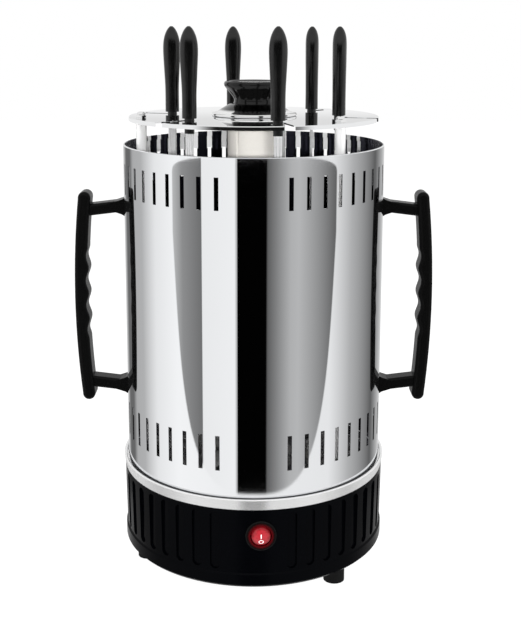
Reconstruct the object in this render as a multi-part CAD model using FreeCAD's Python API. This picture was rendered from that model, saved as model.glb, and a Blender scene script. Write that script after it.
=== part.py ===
"""Electric skewer grill, standing on its three feet.

Six skewers stand in a ring round a heater on the axis. A gear motor in the base turns a centre gear,
which turns a small gear and a drip cup under each skewer. The slotted casing lifts off by its two grips.

Millimetres. The origin is on the floor, on the casing's axis; +Z is up and the switch faces -Y.
Angles in degrees are measured from the front (-Y) towards +X.
"""
import FreeCAD, Part
import math
import os

V = FreeCAD.Vector
UP = V(0, 0, 1)
FRONT = V(0, -1, 0)
SIDE = V(1, 0, 0)

# ---- driving dimensions: base --------------------------------------------------------------------
FOOT_HEIGHT = 15.0            # base housing above the floor
FOOT_R = 8.0
FOOT_RECESS_R = 4.6
FOOT_RECESS_DEPTH = 6.0
BASE_HEIGHT = 60.0
BASE_PROUD = 0.2              # housing's top edge outside the tray's skirt
BASE_DRAFT = 0.9              # how much wider the wall is at its top than above the flange
BASE_WALL = 3.0
FLANGE_HEIGHT = 11.0
FLANGE_PROUD = 1.0
FLANGE_CHAMFER = 2.0
FLUTE_PITCH_DEG = 8.0
FLUTE_BLANK_DEG = 12.0        # no flute within this angle of the switch and of the cord entry
FLUTE_WIDTH = 7.0
FLUTE_DEPTH = 1.4
FLUTE_LOW_MARGIN = 2.0        # flute's lower end above the flange
FLUTE_TOP_MARGIN = 3.0
COVER_THICK = 2.5
COVER_INSET = 1.0
COVER_GAP = 0.3
BOSS_R = 5.5
BOSS_RIB = 3.0
COVER_SCREW_R = 1.9
COVER_SCREW_HEAD_R = 3.8
COVER_SCREW_HEAD = 2.2
COVER_SCREW_GRIP = 12.0       # length of screw inside the boss
SCREW_FIT = 0.05
VENT_COUNT = 10
VENT_CIRCLE_R = 34.0
VENT_LENGTH = 16.0
VENT_WIDTH = 3.0

# ---- gear train -----------------------------------------------------------------------------------
SKEWER_COUNT = 6
SKEWER_INSET = 33.2           # skewer's axis from the inside of the casing
SKEWER_START_DEG = 15.0
SUN_TEETH = 28
SPINDLE_TEETH = 16
STAGE_TEETH = 40              # lower stage of the centre gear, driven by the motor pinion
PINION_TEETH = 12
PRESSURE_DEG = 20.0
BACKLASH = 0.4
GEAR_FLOOR_GAP = 2.0          # lower gear stage above the bottom cover
STAGE_WIDTH = 6.0
STAGE_STEP = 1.0
GEAR_WIDTH = 7.0
HUB_RISE = 7.5                # gear train below the chassis plate
HUB_R = 14.0
RUN_FIT = 0.05                # radial clearance of a running fit
END_PLAY = 0.3
CHASSIS_THICK = 2.0
CHASSIS_GAP = 6.8             # chassis plate to the housing's wall
PILLAR_R = 10.0
PILLAR_BORE_R = 7.0
PILLAR_WINDOW = 8.0
RETAINER_R = 12.5
RETAINER_THICK = 1.2
JOURNAL_R = 4.0
SHAFT_R = 5.0
SPINDLE_END_R = 3.9
SPINDLE_END_FLAT = 2.9
SPINDLE_END_LENGTH = 7.5
BUSH_R = 7.5
BUSH_FLANGE_R = 10.0
BUSH_FLANGE = 1.5
BUSH_DEPTH = 5.0

# ---- motor ------------------------------------------------------------------------------------------
MOTOR_DEG = 105.0
PINION_GAP = 4.0              # motor's shaft clear of the upper gear's teeth
MOTOR_GAP = 3.4               # motor to the two spindle shafts beside it
MOTOR_HEIGHT = 22.0
MOTOR_STEP = 1.5
MOTOR_EAR_R = 5.0
MOTOR_EAR_THICK = 2.0
MOTOR_SCREW_R = 2.0
MOTOR_SCREW_HEAD_R = 3.6
MOTOR_SCREW_HEAD = 2.0
MOTOR_SHAFT_R = 3.0
MOTOR_SHAFT_GRIP = 12.0

# ---- tray and drip cups ---------------------------------------------------------------------------------
TRAY_SHEET = 0.8
TRAY_FLOOR_RISE = 1.0         # tray floor above the housing's top edge
TRAY_LEDGE_RISE = 2.2         # ledge for the casing above the tray floor
TRAY_LEDGE_IN = 4.5           # ledge width inside the casing
TRAY_LIP_GAP = 1.6            # casing to the inside of the lip
TRAY_LIP_WIDTH = 2.0
TRAY_LIP_HEIGHT = 8.0         # lip above the housing's top edge
TRAY_SKIRT_TAPER = 1.1
CUP_R = 24.6
CUP_HEIGHT = 12.0
CUP_WALL = 0.9
CUP_HUB_R = 7.5
CUP_HUB_HEIGHT = 18.0
CUP_HUB_DRAFT = 0.8
SOCKET_DEPTH = 9.0
SOCKET_FIT = 0.2

# ---- casing and grips ------------------------------------------------------------------------------------
CASING_R = 100.0
CASING_WALL = 0.8
CASING_HEIGHT = 250.3
CASING_SEAT_GAP = 0.3
RIM_HEM = 0.7                 # sheet folded in at the rim
RIM_HEM_HEIGHT = 4.0
SEAM_LAP = 10.0               # width of the lap at the back
SLOT_PITCH_DEG = 7.5
SLOT_BLANK_DEG = 14.0         # no slot within this angle of the front and of the back seam
SLOT_WIDTH = 3.3
UPPER_SLOT_DROP = 13.9        # rim to slot top
UPPER_SLOT_LENGTH = 23.2
LOWER_SLOT_RISE = 24.3        # casing foot to slot bottom
LOWER_SLOT_LENGTH = 25.9
GRIP_CENTRE_RISE = 129.4      # casing foot to the grip's middle
GRIP_LENGTH = 167.0
GRIP_WIDTH = 19.0
GRIP_REACH = 25.2             # casing to the inside of the grip's ends
GRIP_THICK = 10.4             # at the grip's ends
GRIP_IN_BOW = 4.7             # how far the inside face stands further out at the middle
GRIP_OUT_BOW = 4.2
GRIP_ROUND = 3.0
WAVE_PITCH = 20.0
WAVE_DEPTH = 1.15
WAVE_RISE = 3.0               # middle finger crest above the grip's middle
STRUT_THICK = 9.0
STRUT_WIDTH = 14.0
STRUT_ROUND = 2.0
STRUT_FLARE = 2.6
STRUT_FLARE_LENGTH = 6.0
STRUT_INSET = 15.0            # strut centre from the grip's end
STRUT_RISE = 3.0              # how far each strut leans away from the grip's middle towards the casing
HANDLE_SCREW_R = 2.0
HANDLE_SCREW_HEAD_R = 4.0
HANDLE_SCREW_HEAD = 1.6
HANDLE_SCREW_GRIP = 12.0

# ---- top disc, posts and knob ---------------------------------------------------------------------------------
DISC_GAP = 3.8                # disc's edge inside the casing's bore
DISC_SHEET = 1.0
DISC_HEM = 3.0
DISC_RISE = 20.9              # disc top above the casing's rim
NOTCH_WIDTH = 8.0
POST_COUNT = 3
POST_INSET = 12.2             # post's axis from the inside of the casing
POST_START_DEG = 45.0
POST_R = 4.0
POST_STUD_R = 2.2
POST_STUD_LENGTH = 8.0
POST_FIT = 0.2
NUT_R = 4.4
NUT_HEIGHT = 4.6
NUT_WALL = 1.5
SAUCER_R = 32.7
SAUCER_HEIGHT = 9.3
SAUCER_EDGE = 1.3
SAUCER_SHEET = 1.0
KNOB_NECK_R = 15.6
KNOB_R = 22.9
KNOB_HEIGHT = 17.0
KNOB_FLUTES = 16
KNOB_FLUTE_R = 3.2
KNOB_FLUTE_DEPTH = 0.9
KNOB_SCREW_R = 2.0
KNOB_SCREW_HEAD_R = 4.5
KNOB_SCREW_HEAD = 2.5
KNOB_SCREW_GRIP = 8.0

# ---- heater -----------------------------------------------------------------------------------------------------
HEATER_CAP_R = 20.3
HEATER_CAP_HEIGHT = 50.0
HEATER_SOCKET_R = 21.0
HEATER_SOCKET_HEIGHT = 22.0
HEATER_EMBED = 9.0            # tube end inside the socket and inside the cap
HEATER_WEB = 3.0
TUBE_R = 16.0
TUBE_WALL = 1.5
CORE_R = 6.0
COIL_WIRE = 1.4
COIL_MARGIN = 6.0
CERAMIC_FIT = 0.1

# ---- skewers --------------------------------------------------------------------------------------------------------
BLADE_WIDTH = 6.0
BLADE_THICK = 2.0
BLADE_POINT = 4.0
BLADE_POINT_WIDTH = 2.0
NECK_R = 3.6
NECK_LENGTH = 11.0
HANDLE_LIFT = 1.5             # handle's lower end above the disc
HANDLE_LENGTH = 66.0
HANDLE_LOW_WIDTH = 10.6
HANDLE_LOW_DEPTH = 10.0
HANDLE_BULGE_WIDTH = 13.3
HANDLE_BULGE_DEPTH = 10.6
HANDLE_BULGE_DROP = 16.5      # widest section below the tip
HANDLE_STRAIGHT = 0.3         # share of the way up to the bulge that stays straight
HANDLE_NOSE_END = 0.985       # share of the nose that is left when its point is rounded off
TANG_WIDTH = 5.0
TANG_LENGTH = 30.0

# ---- switch, cord entry and wiring --------------------------------------------------------------------------------------
SWITCH_DEG = 3.0
SWITCH_RISE = 41.0            # switch centre above the base's lower edge
SWITCH_BEZEL_R = 11.3
SWITCH_BEZEL = 2.2
SWITCH_BODY_R = 9.8
SWITCH_DEPTH = 20.0
SWITCH_TAB = 5.0
SWITCH_TAB_WIDTH = 4.8
SWITCH_TAB_THICK = 0.8
ROCKER_BALL_R = 7.4
ROCKER_GAP = 0.35
ROCKER_BACK = 3.0
ROCKER_FRONT = 4.6
ROCKER_CROWN_R = 18.0
ROCKER_TILT_DEG = 8.0
GLAND_RISE = 43.0
GLAND_BORE_R = 3.6
GLAND_R = 5.2
GLAND_FLANGE_R = 7.5
GLAND_FLANGE = 2.0
GLAND_INNER = 4.0
TERMINAL_DEG = -135.0
TERMINAL_INSET = 28.8         # terminal block's middle from the housing's wall
TERMINAL_LENGTH = 30.0
TERMINAL_WIDTH = 12.0
TERMINAL_HEIGHT = 13.0
TERMINAL_WAYS = 3
TERMINAL_SCREW_R = 2.2
TERMINAL_SCREW_DEPTH = 3.0
LEAD_R = 1.2
LEAD_GAP = 0.35               # leads' centre line inside the ends of the switch's tabs
LEAD_RISE = 8.0               # leads above the chassis plate

# ---- levels and sizes that follow ---------------------------------------------------------------------------------------------
CASING_BORE_R = CASING_R - CASING_WALL
SKEWER_CIRCLE_R = CASING_BORE_R - SKEWER_INSET
POST_CIRCLE_R = CASING_BORE_R - POST_INSET
DISC_R = CASING_BORE_R - DISC_GAP
TRAY_LIP_R = CASING_R + TRAY_LIP_GAP + TRAY_LIP_WIDTH
TRAY_SKIRT_R = TRAY_LIP_R - TRAY_SKIRT_TAPER
BASE_R = TRAY_SKIRT_R + BASE_PROUD - BASE_DRAFT
GRIP_END_IN_R = CASING_R + GRIP_REACH
GRIP_END_OUT_R = GRIP_END_IN_R + GRIP_THICK
GRIP_MID_IN_R = GRIP_END_IN_R + GRIP_IN_BOW
GRIP_MID_OUT_R = GRIP_END_OUT_R + GRIP_OUT_BOW
BASE_Z = FOOT_HEIGHT
BASE_TOP_Z = BASE_Z + BASE_HEIGHT
BASE_INNER_R = BASE_R - BASE_WALL
CHASSIS_R = BASE_INNER_R - CHASSIS_GAP
TERMINAL_R = BASE_INNER_R - TERMINAL_INSET
COVER_Z = BASE_Z + COVER_INSET
COVER_TOP_Z = COVER_Z + COVER_THICK
STAGE_Z = COVER_TOP_Z + GEAR_FLOOR_GAP
GEAR_Z = STAGE_Z + STAGE_WIDTH + STAGE_STEP
CHASSIS_Z = GEAR_Z + GEAR_WIDTH + HUB_RISE
CHASSIS_TOP_Z = CHASSIS_Z + CHASSIS_THICK
TRAY_Z = BASE_TOP_Z + TRAY_FLOOR_RISE
TRAY_TOP_Z = TRAY_Z + TRAY_SHEET
LEDGE_Z = TRAY_TOP_Z + TRAY_LEDGE_RISE - TRAY_SHEET
CUP_Z = TRAY_TOP_Z + BUSH_FLANGE + END_PLAY
CASING_Z = LEDGE_Z + CASING_SEAT_GAP
CASING_RIM_Z = CASING_Z + CASING_HEIGHT
DISC_TOP_Z = CASING_RIM_Z + DISC_RISE
DISC_Z = DISC_TOP_Z - DISC_SHEET
SOCKET_Z = CUP_Z + CUP_HUB_HEIGHT - SOCKET_DEPTH
SAUCER_TOP_Z = DISC_TOP_Z + SAUCER_HEIGHT
SWITCH_Z = BASE_Z + SWITCH_RISE
GLAND_Z = BASE_Z + GLAND_RISE
LEAD_Z = CHASSIS_TOP_Z + LEAD_RISE
SPINDLE_MODULE = 2.0 * SKEWER_CIRCLE_R / (SUN_TEETH + SPINDLE_TEETH)
PINION_DISTANCE = SPINDLE_MODULE * (SUN_TEETH / 2.0 + 1.0) + MOTOR_SHAFT_R + PINION_GAP
STAGE_MODULE = 2.0 * PINION_DISTANCE / (STAGE_TEETH + PINION_TEETH)
MOTOR_AWAY_RAD = math.pi / SKEWER_COUNT
MOTOR_TO_SPINDLE = math.hypot(SKEWER_CIRCLE_R * math.cos(MOTOR_AWAY_RAD) - PINION_DISTANCE,
                              SKEWER_CIRCLE_R * math.sin(MOTOR_AWAY_RAD))
MOTOR_R = MOTOR_TO_SPINDLE - SHAFT_R - MOTOR_GAP
SKEWER_ANGLES = [SKEWER_START_DEG + k * 360.0 / SKEWER_COUNT for k in range(SKEWER_COUNT)]
POST_ANGLES = [POST_START_DEG + k * 360.0 / POST_COUNT for k in range(POST_COUNT)]
MARGIN = 1.0                  # how far a cutting tool reaches past the face it opens


# ---- helpers -------------------------------------------------------------------------------------------------------------------------
def polar(radius, degrees, z=0.0):
    a = math.radians(degrees)
    return V(radius * math.sin(a), -radius * math.cos(a), z)


def turned(shape, degrees):
    """The shape, made facing the front, turned round the axis."""
    copy = shape.copy()
    copy.rotate(V(0, 0, 0), UP, degrees)
    return copy


def rod(radius, z, length, centre=V(0, 0, 0)):
    return Part.makeCylinder(radius, length, V(centre.x, centre.y, z), UP)


def ring(outer, inner, z, length, centre=V(0, 0, 0)):
    return rod(outer, z, length, centre).cut(rod(inner, z - MARGIN, length + 2 * MARGIN, centre))


def radial_rod(radius, start_r, length, z):
    """A cylinder along the front radius, from start_r outwards."""
    return Part.makeCylinder(radius, length, V(0, -start_r, z), FRONT)


def block(x0, x1, y0, y1, z0, z1):
    return Part.makeBox(x1 - x0, y1 - y0, z1 - z0, V(x0, y0, z0))


def polygon_face(points):
    return Part.Face(Part.makePolygon(points + [points[0]]))


def spun(profile):
    """A closed outline of (radius, z) points turned about the axis."""
    return polygon_face([V(r, 0, z) for r, z in profile]).revolve(V(0, 0, 0), UP, 360)


def joined(shapes):
    return shapes[0].multiFuse(shapes[1:]).removeSplitter() if len(shapes) > 1 else shapes[0]


def save(name, *shapes):
    solids = [solid for shape in shapes for solid in shape.Solids]
    body = solids[0] if len(solids) == 1 else Part.makeCompound(solids)
    body.exportStep(os.path.join("parts", name + ".step"))


# ---- gears ------------------------------------------------------------------------------------------------------------------------------
def involute(angle):
    return math.tan(angle) - angle


def tooth_half_angle(teeth, module, radius):
    """Half the angle a tooth spans at a radius, with its share of the backlash taken off."""
    pitch_r = module * teeth / 2.0
    pressure = math.radians(PRESSURE_DEG)
    base_r = pitch_r * math.cos(pressure)
    half_at_pitch = math.pi / (2 * teeth) - BACKLASH / (4 * pitch_r)
    roll = math.acos(base_r / max(radius, base_r))
    return half_at_pitch + involute(pressure) - involute(roll)


def gear(teeth, module, z, width, first_tooth_deg, centre=V(0, 0, 0)):
    """A spur gear with one tooth centred on first_tooth_deg, measured as all angles here are."""
    pitch_r = module * teeth / 2.0
    tip_r = pitch_r + module
    root_r = pitch_r - 1.25 * module
    tip_half = math.degrees(tooth_half_angle(teeth, module, tip_r))
    root_half = math.degrees(tooth_half_angle(teeth, module, root_r))
    points = []
    for tooth in range(teeth):
        middle = first_tooth_deg + tooth * 360.0 / teeth
        corners = ((root_r, -root_half), (tip_r, -tip_half), (tip_r, tip_half), (root_r, root_half))
        points += [centre + polar(radius, middle + side, z) for radius, side in corners]
    return polygon_face(points).extrude(UP * width)


def follower_tooth_deg(direction_deg, driver_teeth, driver_tooth_deg, follower_teeth):
    """Where a follower in that direction has a tooth, when a gap of it takes the driver's tooth."""
    offset = (driver_tooth_deg - direction_deg) % (360.0 / driver_teeth)
    gap_deg = direction_deg + 180.0 - offset * driver_teeth / follower_teeth
    return gap_deg + 180.0 / follower_teeth


def spindle_tooth_deg(direction_deg):
    return follower_tooth_deg(direction_deg, SUN_TEETH, 0.0, SPINDLE_TEETH)


def sun_gear():
    upper = gear(SUN_TEETH, SPINDLE_MODULE, GEAR_Z, GEAR_WIDTH, 0.0)
    lower = gear(STAGE_TEETH, STAGE_MODULE, STAGE_Z, STAGE_WIDTH, 0.0)
    hub = rod(HUB_R, STAGE_Z, CHASSIS_Z - END_PLAY - STAGE_Z)
    body = joined([upper, lower, hub])
    return body.cut(rod(PILLAR_R + RUN_FIT, STAGE_Z - MARGIN, CHASSIS_Z - STAGE_Z + 2 * MARGIN))


def motor_pinion():
    centre = polar(PINION_DISTANCE, MOTOR_DEG)
    tooth = follower_tooth_deg(MOTOR_DEG, STAGE_TEETH, 0.0, PINION_TEETH)
    teeth = gear(PINION_TEETH, STAGE_MODULE, STAGE_Z, STAGE_WIDTH, tooth, centre)
    shaft = rod(MOTOR_SHAFT_R, STAGE_Z, CHASSIS_TOP_Z + MOTOR_SHAFT_GRIP - STAGE_Z, centre)
    return joined([teeth, shaft])


def spindle(direction_deg):
    """Spindle gear and shaft in one moulding; the flatted end drives the drip cup."""
    centre = polar(SKEWER_CIRCLE_R, direction_deg)
    tooth = spindle_tooth_deg(direction_deg)
    wheel = gear(SPINDLE_TEETH, SPINDLE_MODULE, GEAR_Z, GEAR_WIDTH, tooth, centre)
    shoulder = rod(2 * JOURNAL_R, GEAR_Z, CHASSIS_Z - END_PLAY - GEAR_Z, centre)
    journal = rod(JOURNAL_R, GEAR_Z, CHASSIS_TOP_Z + END_PLAY - GEAR_Z, centre)
    shaft = rod(SHAFT_R, CHASSIS_TOP_Z + END_PLAY, CUP_Z - CHASSIS_TOP_Z - END_PLAY, centre)
    return joined([wheel, shoulder, journal, shaft, spindle_end(direction_deg, 0.0)])


def spindle_end(direction_deg, fit):
    """The D-shaped end that the cup sits on, or with a fit the hole that takes it."""
    radius = SPINDLE_END_R + fit
    length = SPINDLE_END_LENGTH + fit
    flat = block(-radius, radius, -radius, SPINDLE_END_FLAT + fit, CUP_Z, CUP_Z + length)
    end = rod(radius, CUP_Z, length).common(flat)
    end.rotate(V(0, 0, 0), UP, spindle_tooth_deg(direction_deg))
    end.translate(polar(SKEWER_CIRCLE_R, direction_deg))
    return end


# ---- base ---------------------------------------------------------------------------------------------------------------------------------
def base_wall_r(z):
    """Outside radius of the housing's wall at a height."""
    low = BASE_Z + FLANGE_HEIGHT
    return BASE_R + BASE_DRAFT * (z - low) / (BASE_TOP_Z - low)


def flute():
    """Cutting tool for one flute at the front, with its ends chamfered to a point-like round."""
    low = BASE_Z + FLANGE_HEIGHT + FLUTE_LOW_MARGIN
    high = BASE_TOP_Z - FLUTE_TOP_MARGIN
    half, narrow, bevel = FLUTE_WIDTH / 2.0, FLUTE_WIDTH / 5.0, FLUTE_WIDTH * 0.3
    outline = [(-half, low + bevel), (-narrow, low), (narrow, low), (half, low + bevel),
               (half, high - bevel), (narrow, high), (-narrow, high), (-half, high - bevel)]
    back_r = BASE_R - FLUTE_DEPTH
    face = polygon_face([V(x, -back_r, z) for x, z in outline])
    return face.extrude(FRONT * (FLUTE_DEPTH + BASE_DRAFT + MARGIN))


def flute_angles():
    count = int(round(360.0 / FLUTE_PITCH_DEG))
    angles = [k * FLUTE_PITCH_DEG for k in range(-(count // 2), (count + 1) // 2)]
    return [a for a in angles if FLUTE_BLANK_DEG < abs(a) < 180.0 - FLUTE_BLANK_DEG]


def boss(degrees):
    """Screw column for the cover below and the post above, tied to the wall by a rib."""
    height = CHASSIS_Z - COVER_TOP_Z
    centre = V(0, -POST_CIRCLE_R, 0)
    column = rod(BOSS_R, COVER_TOP_Z, height, centre)
    rib = block(-BOSS_RIB / 2, BOSS_RIB / 2, -(BASE_INNER_R + MARGIN), -POST_CIRCLE_R,
                COVER_TOP_Z, CHASSIS_Z)
    body = column.fuse(rib)
    body = body.cut(rod(COVER_SCREW_R + SCREW_FIT, COVER_TOP_Z - MARGIN, COVER_SCREW_GRIP + 2 * MARGIN,
                        centre))
    body = body.cut(rod(POST_STUD_R + SCREW_FIT, CHASSIS_Z - POST_STUD_LENGTH - MARGIN,
                        POST_STUD_LENGTH + 2 * MARGIN, centre))
    return turned(body, degrees)


def base_housing():
    flange_r = BASE_R + FLANGE_PROUD
    flange_top = BASE_Z + FLANGE_HEIGHT
    shell = spun([(BASE_INNER_R, BASE_Z), (flange_r - FLANGE_CHAMFER, BASE_Z),
                  (flange_r, BASE_Z + FLANGE_CHAMFER), (flange_r, flange_top - FLANGE_PROUD),
                  (BASE_R, flange_top), (base_wall_r(BASE_TOP_Z), BASE_TOP_Z),
                  (BASE_INNER_R, BASE_TOP_Z)])
    body = joined([shell] + [boss(a) for a in POST_ANGLES])
    tools = [turned(flute(), a) for a in flute_angles()]
    reach = 2 * BASE_WALL + BASE_DRAFT + FLANGE_PROUD
    start = BASE_INNER_R - BASE_WALL
    tools.append(turned(radial_rod(SWITCH_BODY_R + COVER_GAP, start, reach, SWITCH_Z), SWITCH_DEG))
    tools.append(turned(radial_rod(GLAND_R, start, reach, GLAND_Z), 180.0))
    return body.cut(tools)


def bottom_cover():
    plate = rod(BASE_INNER_R - COVER_GAP, COVER_Z, COVER_THICK)
    holes = [rod(COVER_SCREW_R + SCREW_FIT, COVER_Z - MARGIN, COVER_THICK + 2 * MARGIN,
                 polar(POST_CIRCLE_R, a)) for a in POST_ANGLES]
    vent = block(-VENT_WIDTH / 2, VENT_WIDTH / 2, -VENT_CIRCLE_R - VENT_LENGTH / 2,
                 -VENT_CIRCLE_R + VENT_LENGTH / 2, COVER_Z - MARGIN, COVER_TOP_Z + MARGIN)
    holes += [turned(vent, k * 360.0 / VENT_COUNT) for k in range(VENT_COUNT)]
    return plate.cut(holes)


def rubber_foot(degrees):
    centre = polar(POST_CIRCLE_R, degrees)
    foot = rod(FOOT_R, 0.0, COVER_Z, centre)
    foot = foot.cut(rod(FOOT_RECESS_R, -MARGIN, FOOT_RECESS_DEPTH + MARGIN, centre))
    return foot.cut(rod(COVER_SCREW_R + SCREW_FIT, 0.0, COVER_Z + MARGIN, centre))


def cover_screw(degrees):
    centre = polar(POST_CIRCLE_R, degrees)
    head_z = FOOT_RECESS_DEPTH - COVER_SCREW_HEAD
    head = rod(COVER_SCREW_HEAD_R, head_z, COVER_SCREW_HEAD, centre)
    shank = rod(COVER_SCREW_R, head_z, COVER_TOP_Z + COVER_SCREW_GRIP - head_z, centre)
    return joined([head, shank])


def chassis_plate():
    plate = rod(CHASSIS_R, CHASSIS_Z, CHASSIS_THICK)
    z, depth = CHASSIS_Z - MARGIN, CHASSIS_THICK + 2 * MARGIN
    holes = [rod(PILLAR_R, z, depth)]
    holes += [rod(JOURNAL_R + RUN_FIT, z, depth, polar(SKEWER_CIRCLE_R, a)) for a in SKEWER_ANGLES]
    holes += [rod(POST_STUD_R + SCREW_FIT, z, depth, polar(POST_CIRCLE_R, a)) for a in POST_ANGLES]
    holes += [rod(MOTOR_SCREW_R, z, depth, centre) for centre in motor_screw_centres()]
    holes.append(rod(MOTOR_SHAFT_R + MARGIN, z, depth, polar(PINION_DISTANCE, MOTOR_DEG)))
    return plate.cut(holes)


def centre_pillar():
    """Fixed hollow pillar: the centre gear runs on it and the heater's leads go up inside."""
    bottom = STAGE_Z - END_PLAY - RETAINER_THICK
    body = ring(PILLAR_R, PILLAR_BORE_R, bottom, TRAY_TOP_Z + END_PLAY - bottom)
    window = block(-PILLAR_WINDOW / 2, PILLAR_WINDOW / 2, -2 * PILLAR_R, 0,
                   LEAD_Z - PILLAR_WINDOW / 2, LEAD_Z + PILLAR_WINDOW / 2)
    return body.cut(turned(window, TERMINAL_DEG))


def gear_retainer():
    """Ring clipped on the pillar's lower end, under the centre gear."""
    return ring(RETAINER_R, PILLAR_R, STAGE_Z - END_PLAY - RETAINER_THICK, RETAINER_THICK)


# ---- motor -----------------------------------------------------------------------------------------------------------------------------------
def motor_screw_centres():
    """Motor ears lie on the radius, clear of the spindle shafts on either side."""
    reach = MOTOR_R + MOTOR_EAR_R
    return [polar(PINION_DISTANCE - reach, MOTOR_DEG), polar(PINION_DISTANCE + reach, MOTOR_DEG)]


def motor_body():
    centre = polar(PINION_DISTANCE, MOTOR_DEG)
    gearbox = rod(MOTOR_R, CHASSIS_TOP_Z, MOTOR_HEIGHT / 2, centre)
    can = rod(MOTOR_R - MOTOR_STEP, CHASSIS_TOP_Z, MOTOR_HEIGHT, centre)
    reach = MOTOR_R + MOTOR_EAR_R
    strap = block(-MOTOR_EAR_R, MOTOR_EAR_R, -reach, reach, CHASSIS_TOP_Z,
                  CHASSIS_TOP_Z + MOTOR_EAR_THICK)
    strap.rotate(V(0, 0, 0), UP, MOTOR_DEG)
    strap.translate(centre)
    ears = [rod(MOTOR_EAR_R, CHASSIS_TOP_Z, MOTOR_EAR_THICK, c) for c in motor_screw_centres()]
    body = joined([gearbox, can, strap] + ears)
    holes = [rod(MOTOR_SCREW_R, CHASSIS_TOP_Z - MARGIN, MOTOR_EAR_THICK + 2 * MARGIN, c)
             for c in motor_screw_centres()]
    holes.append(rod(MOTOR_SHAFT_R + RUN_FIT, CHASSIS_TOP_Z - MARGIN,
                     MOTOR_SHAFT_GRIP + END_PLAY + MARGIN, centre))
    return body.cut(holes)


def motor_screw(centre):
    top = CHASSIS_TOP_Z + MOTOR_EAR_THICK
    head = rod(MOTOR_SCREW_HEAD_R, top, MOTOR_SCREW_HEAD, centre)
    shank = rod(MOTOR_SCREW_R, CHASSIS_Z, top - CHASSIS_Z, centre)
    return joined([head, shank])


# ---- tray and drip cups ----------------------------------------------------------------------------------------------------------------------------
def drip_tray():
    """Spun tray: floor, ledge under the casing, and a hemmed lip that hangs over the housing."""
    lip_z = BASE_TOP_Z + TRAY_LIP_HEIGHT
    lip_inner_r = TRAY_LIP_R - TRAY_LIP_WIDTH
    ledge_r = CASING_BORE_R - TRAY_LEDGE_IN
    under_ledge = LEDGE_Z - TRAY_SHEET
    round_off = TRAY_LIP_WIDTH / 4.0
    step = LEDGE_Z - TRAY_TOP_Z
    body = spun([(PILLAR_R, TRAY_Z), (ledge_r - step, TRAY_Z), (ledge_r, under_ledge),
                 (TRAY_SKIRT_R - TRAY_SHEET, under_ledge), (TRAY_SKIRT_R - TRAY_SHEET, BASE_TOP_Z),
                 (TRAY_SKIRT_R, BASE_TOP_Z), (TRAY_LIP_R, lip_z - round_off),
                 (TRAY_LIP_R - round_off, lip_z), (lip_inner_r + round_off, lip_z),
                 (lip_inner_r, lip_z - round_off), (lip_inner_r - round_off, LEDGE_Z),
                 (ledge_r, LEDGE_Z), (ledge_r - step, TRAY_TOP_Z), (PILLAR_R, TRAY_TOP_Z)])
    z, depth = TRAY_Z - MARGIN, TRAY_SHEET + 2 * MARGIN
    holes = [rod(BUSH_R, z, depth, polar(SKEWER_CIRCLE_R, a)) for a in SKEWER_ANGLES]
    holes += [rod(POST_R + POST_FIT, z, depth, polar(POST_CIRCLE_R, a)) for a in POST_ANGLES]
    return body.cut(holes)


def spindle_bush(degrees):
    centre = polar(SKEWER_CIRCLE_R, degrees)
    barrel = rod(BUSH_R, TRAY_TOP_Z - BUSH_DEPTH, BUSH_DEPTH, centre)
    flange = rod(BUSH_FLANGE_R, TRAY_TOP_Z, BUSH_FLANGE, centre)
    bore = rod(SHAFT_R + RUN_FIT, TRAY_TOP_Z - BUSH_DEPTH - MARGIN,
               BUSH_DEPTH + BUSH_FLANGE + 2 * MARGIN, centre)
    return joined([barrel, flange]).cut(bore)


def skewer_turn_deg(direction_deg, wanted_deg):
    """Turn of a skewer's broad face: the step of its spindle's teeth nearest to the wanted one."""
    step = 360.0 / SPINDLE_TEETH
    start = spindle_tooth_deg(direction_deg)
    return start + step * round((wanted_deg - start) / step)


def drip_cup(direction_deg, turn_deg):
    """Cup whose hub drops on the spindle's end and holds the skewer's point in a slot."""
    floor = CUP_Z + CUP_WALL
    slope = CUP_HEIGHT / 3.0
    flat_r = CUP_R - slope - CUP_WALL
    top = CUP_Z + CUP_HEIGHT
    body = spun([(0, CUP_Z), (flat_r, CUP_Z), (CUP_R - CUP_WALL, CUP_Z + slope), (CUP_R, top),
                 (CUP_R - CUP_WALL, top), (CUP_R - 2 * CUP_WALL, floor + slope),
                 (flat_r - CUP_WALL / 2, floor), (CUP_HUB_R, floor),
                 (CUP_HUB_R - CUP_HUB_DRAFT, CUP_Z + CUP_HUB_HEIGHT), (0, CUP_Z + CUP_HUB_HEIGHT)])
    half_w, half_t = BLADE_WIDTH / 2 + SOCKET_FIT, BLADE_THICK / 2 + SOCKET_FIT
    slot = block(-half_w, half_w, -half_t, half_t, SOCKET_Z, CUP_Z + CUP_HUB_HEIGHT + MARGIN)
    slot.rotate(V(0, 0, 0), UP, turn_deg)
    body = body.cut(slot)
    body.translate(polar(SKEWER_CIRCLE_R, direction_deg))
    return body.cut(spindle_end(direction_deg, SCREW_FIT))


# ---- skewers -------------------------------------------------------------------------------------------------------------------------------------------
def placed_skewer(shape, direction_deg, turn_deg):
    shape.rotate(V(0, 0, 0), UP, turn_deg)
    shape.translate(polar(SKEWER_CIRCLE_R, direction_deg))
    return shape


def skewer_blade(direction_deg, turn_deg):
    tip_z = SOCKET_Z + END_PLAY
    handle_z = DISC_TOP_Z + HANDLE_LIFT
    half, point = BLADE_WIDTH / 2, BLADE_POINT_WIDTH / 2
    outline = [(-point, tip_z), (point, tip_z), (half, tip_z + BLADE_POINT), (half, handle_z),
               (-half, handle_z), (-half, tip_z + BLADE_POINT)]
    flat = polygon_face([V(x, -BLADE_THICK / 2, z) for x, z in outline])
    blade = flat.extrude(V(0, BLADE_THICK, 0))
    neck = rod(NECK_R, handle_z - NECK_LENGTH, NECK_LENGTH)
    return placed_skewer(joined([blade, neck, tang()]), direction_deg, turn_deg)


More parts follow.
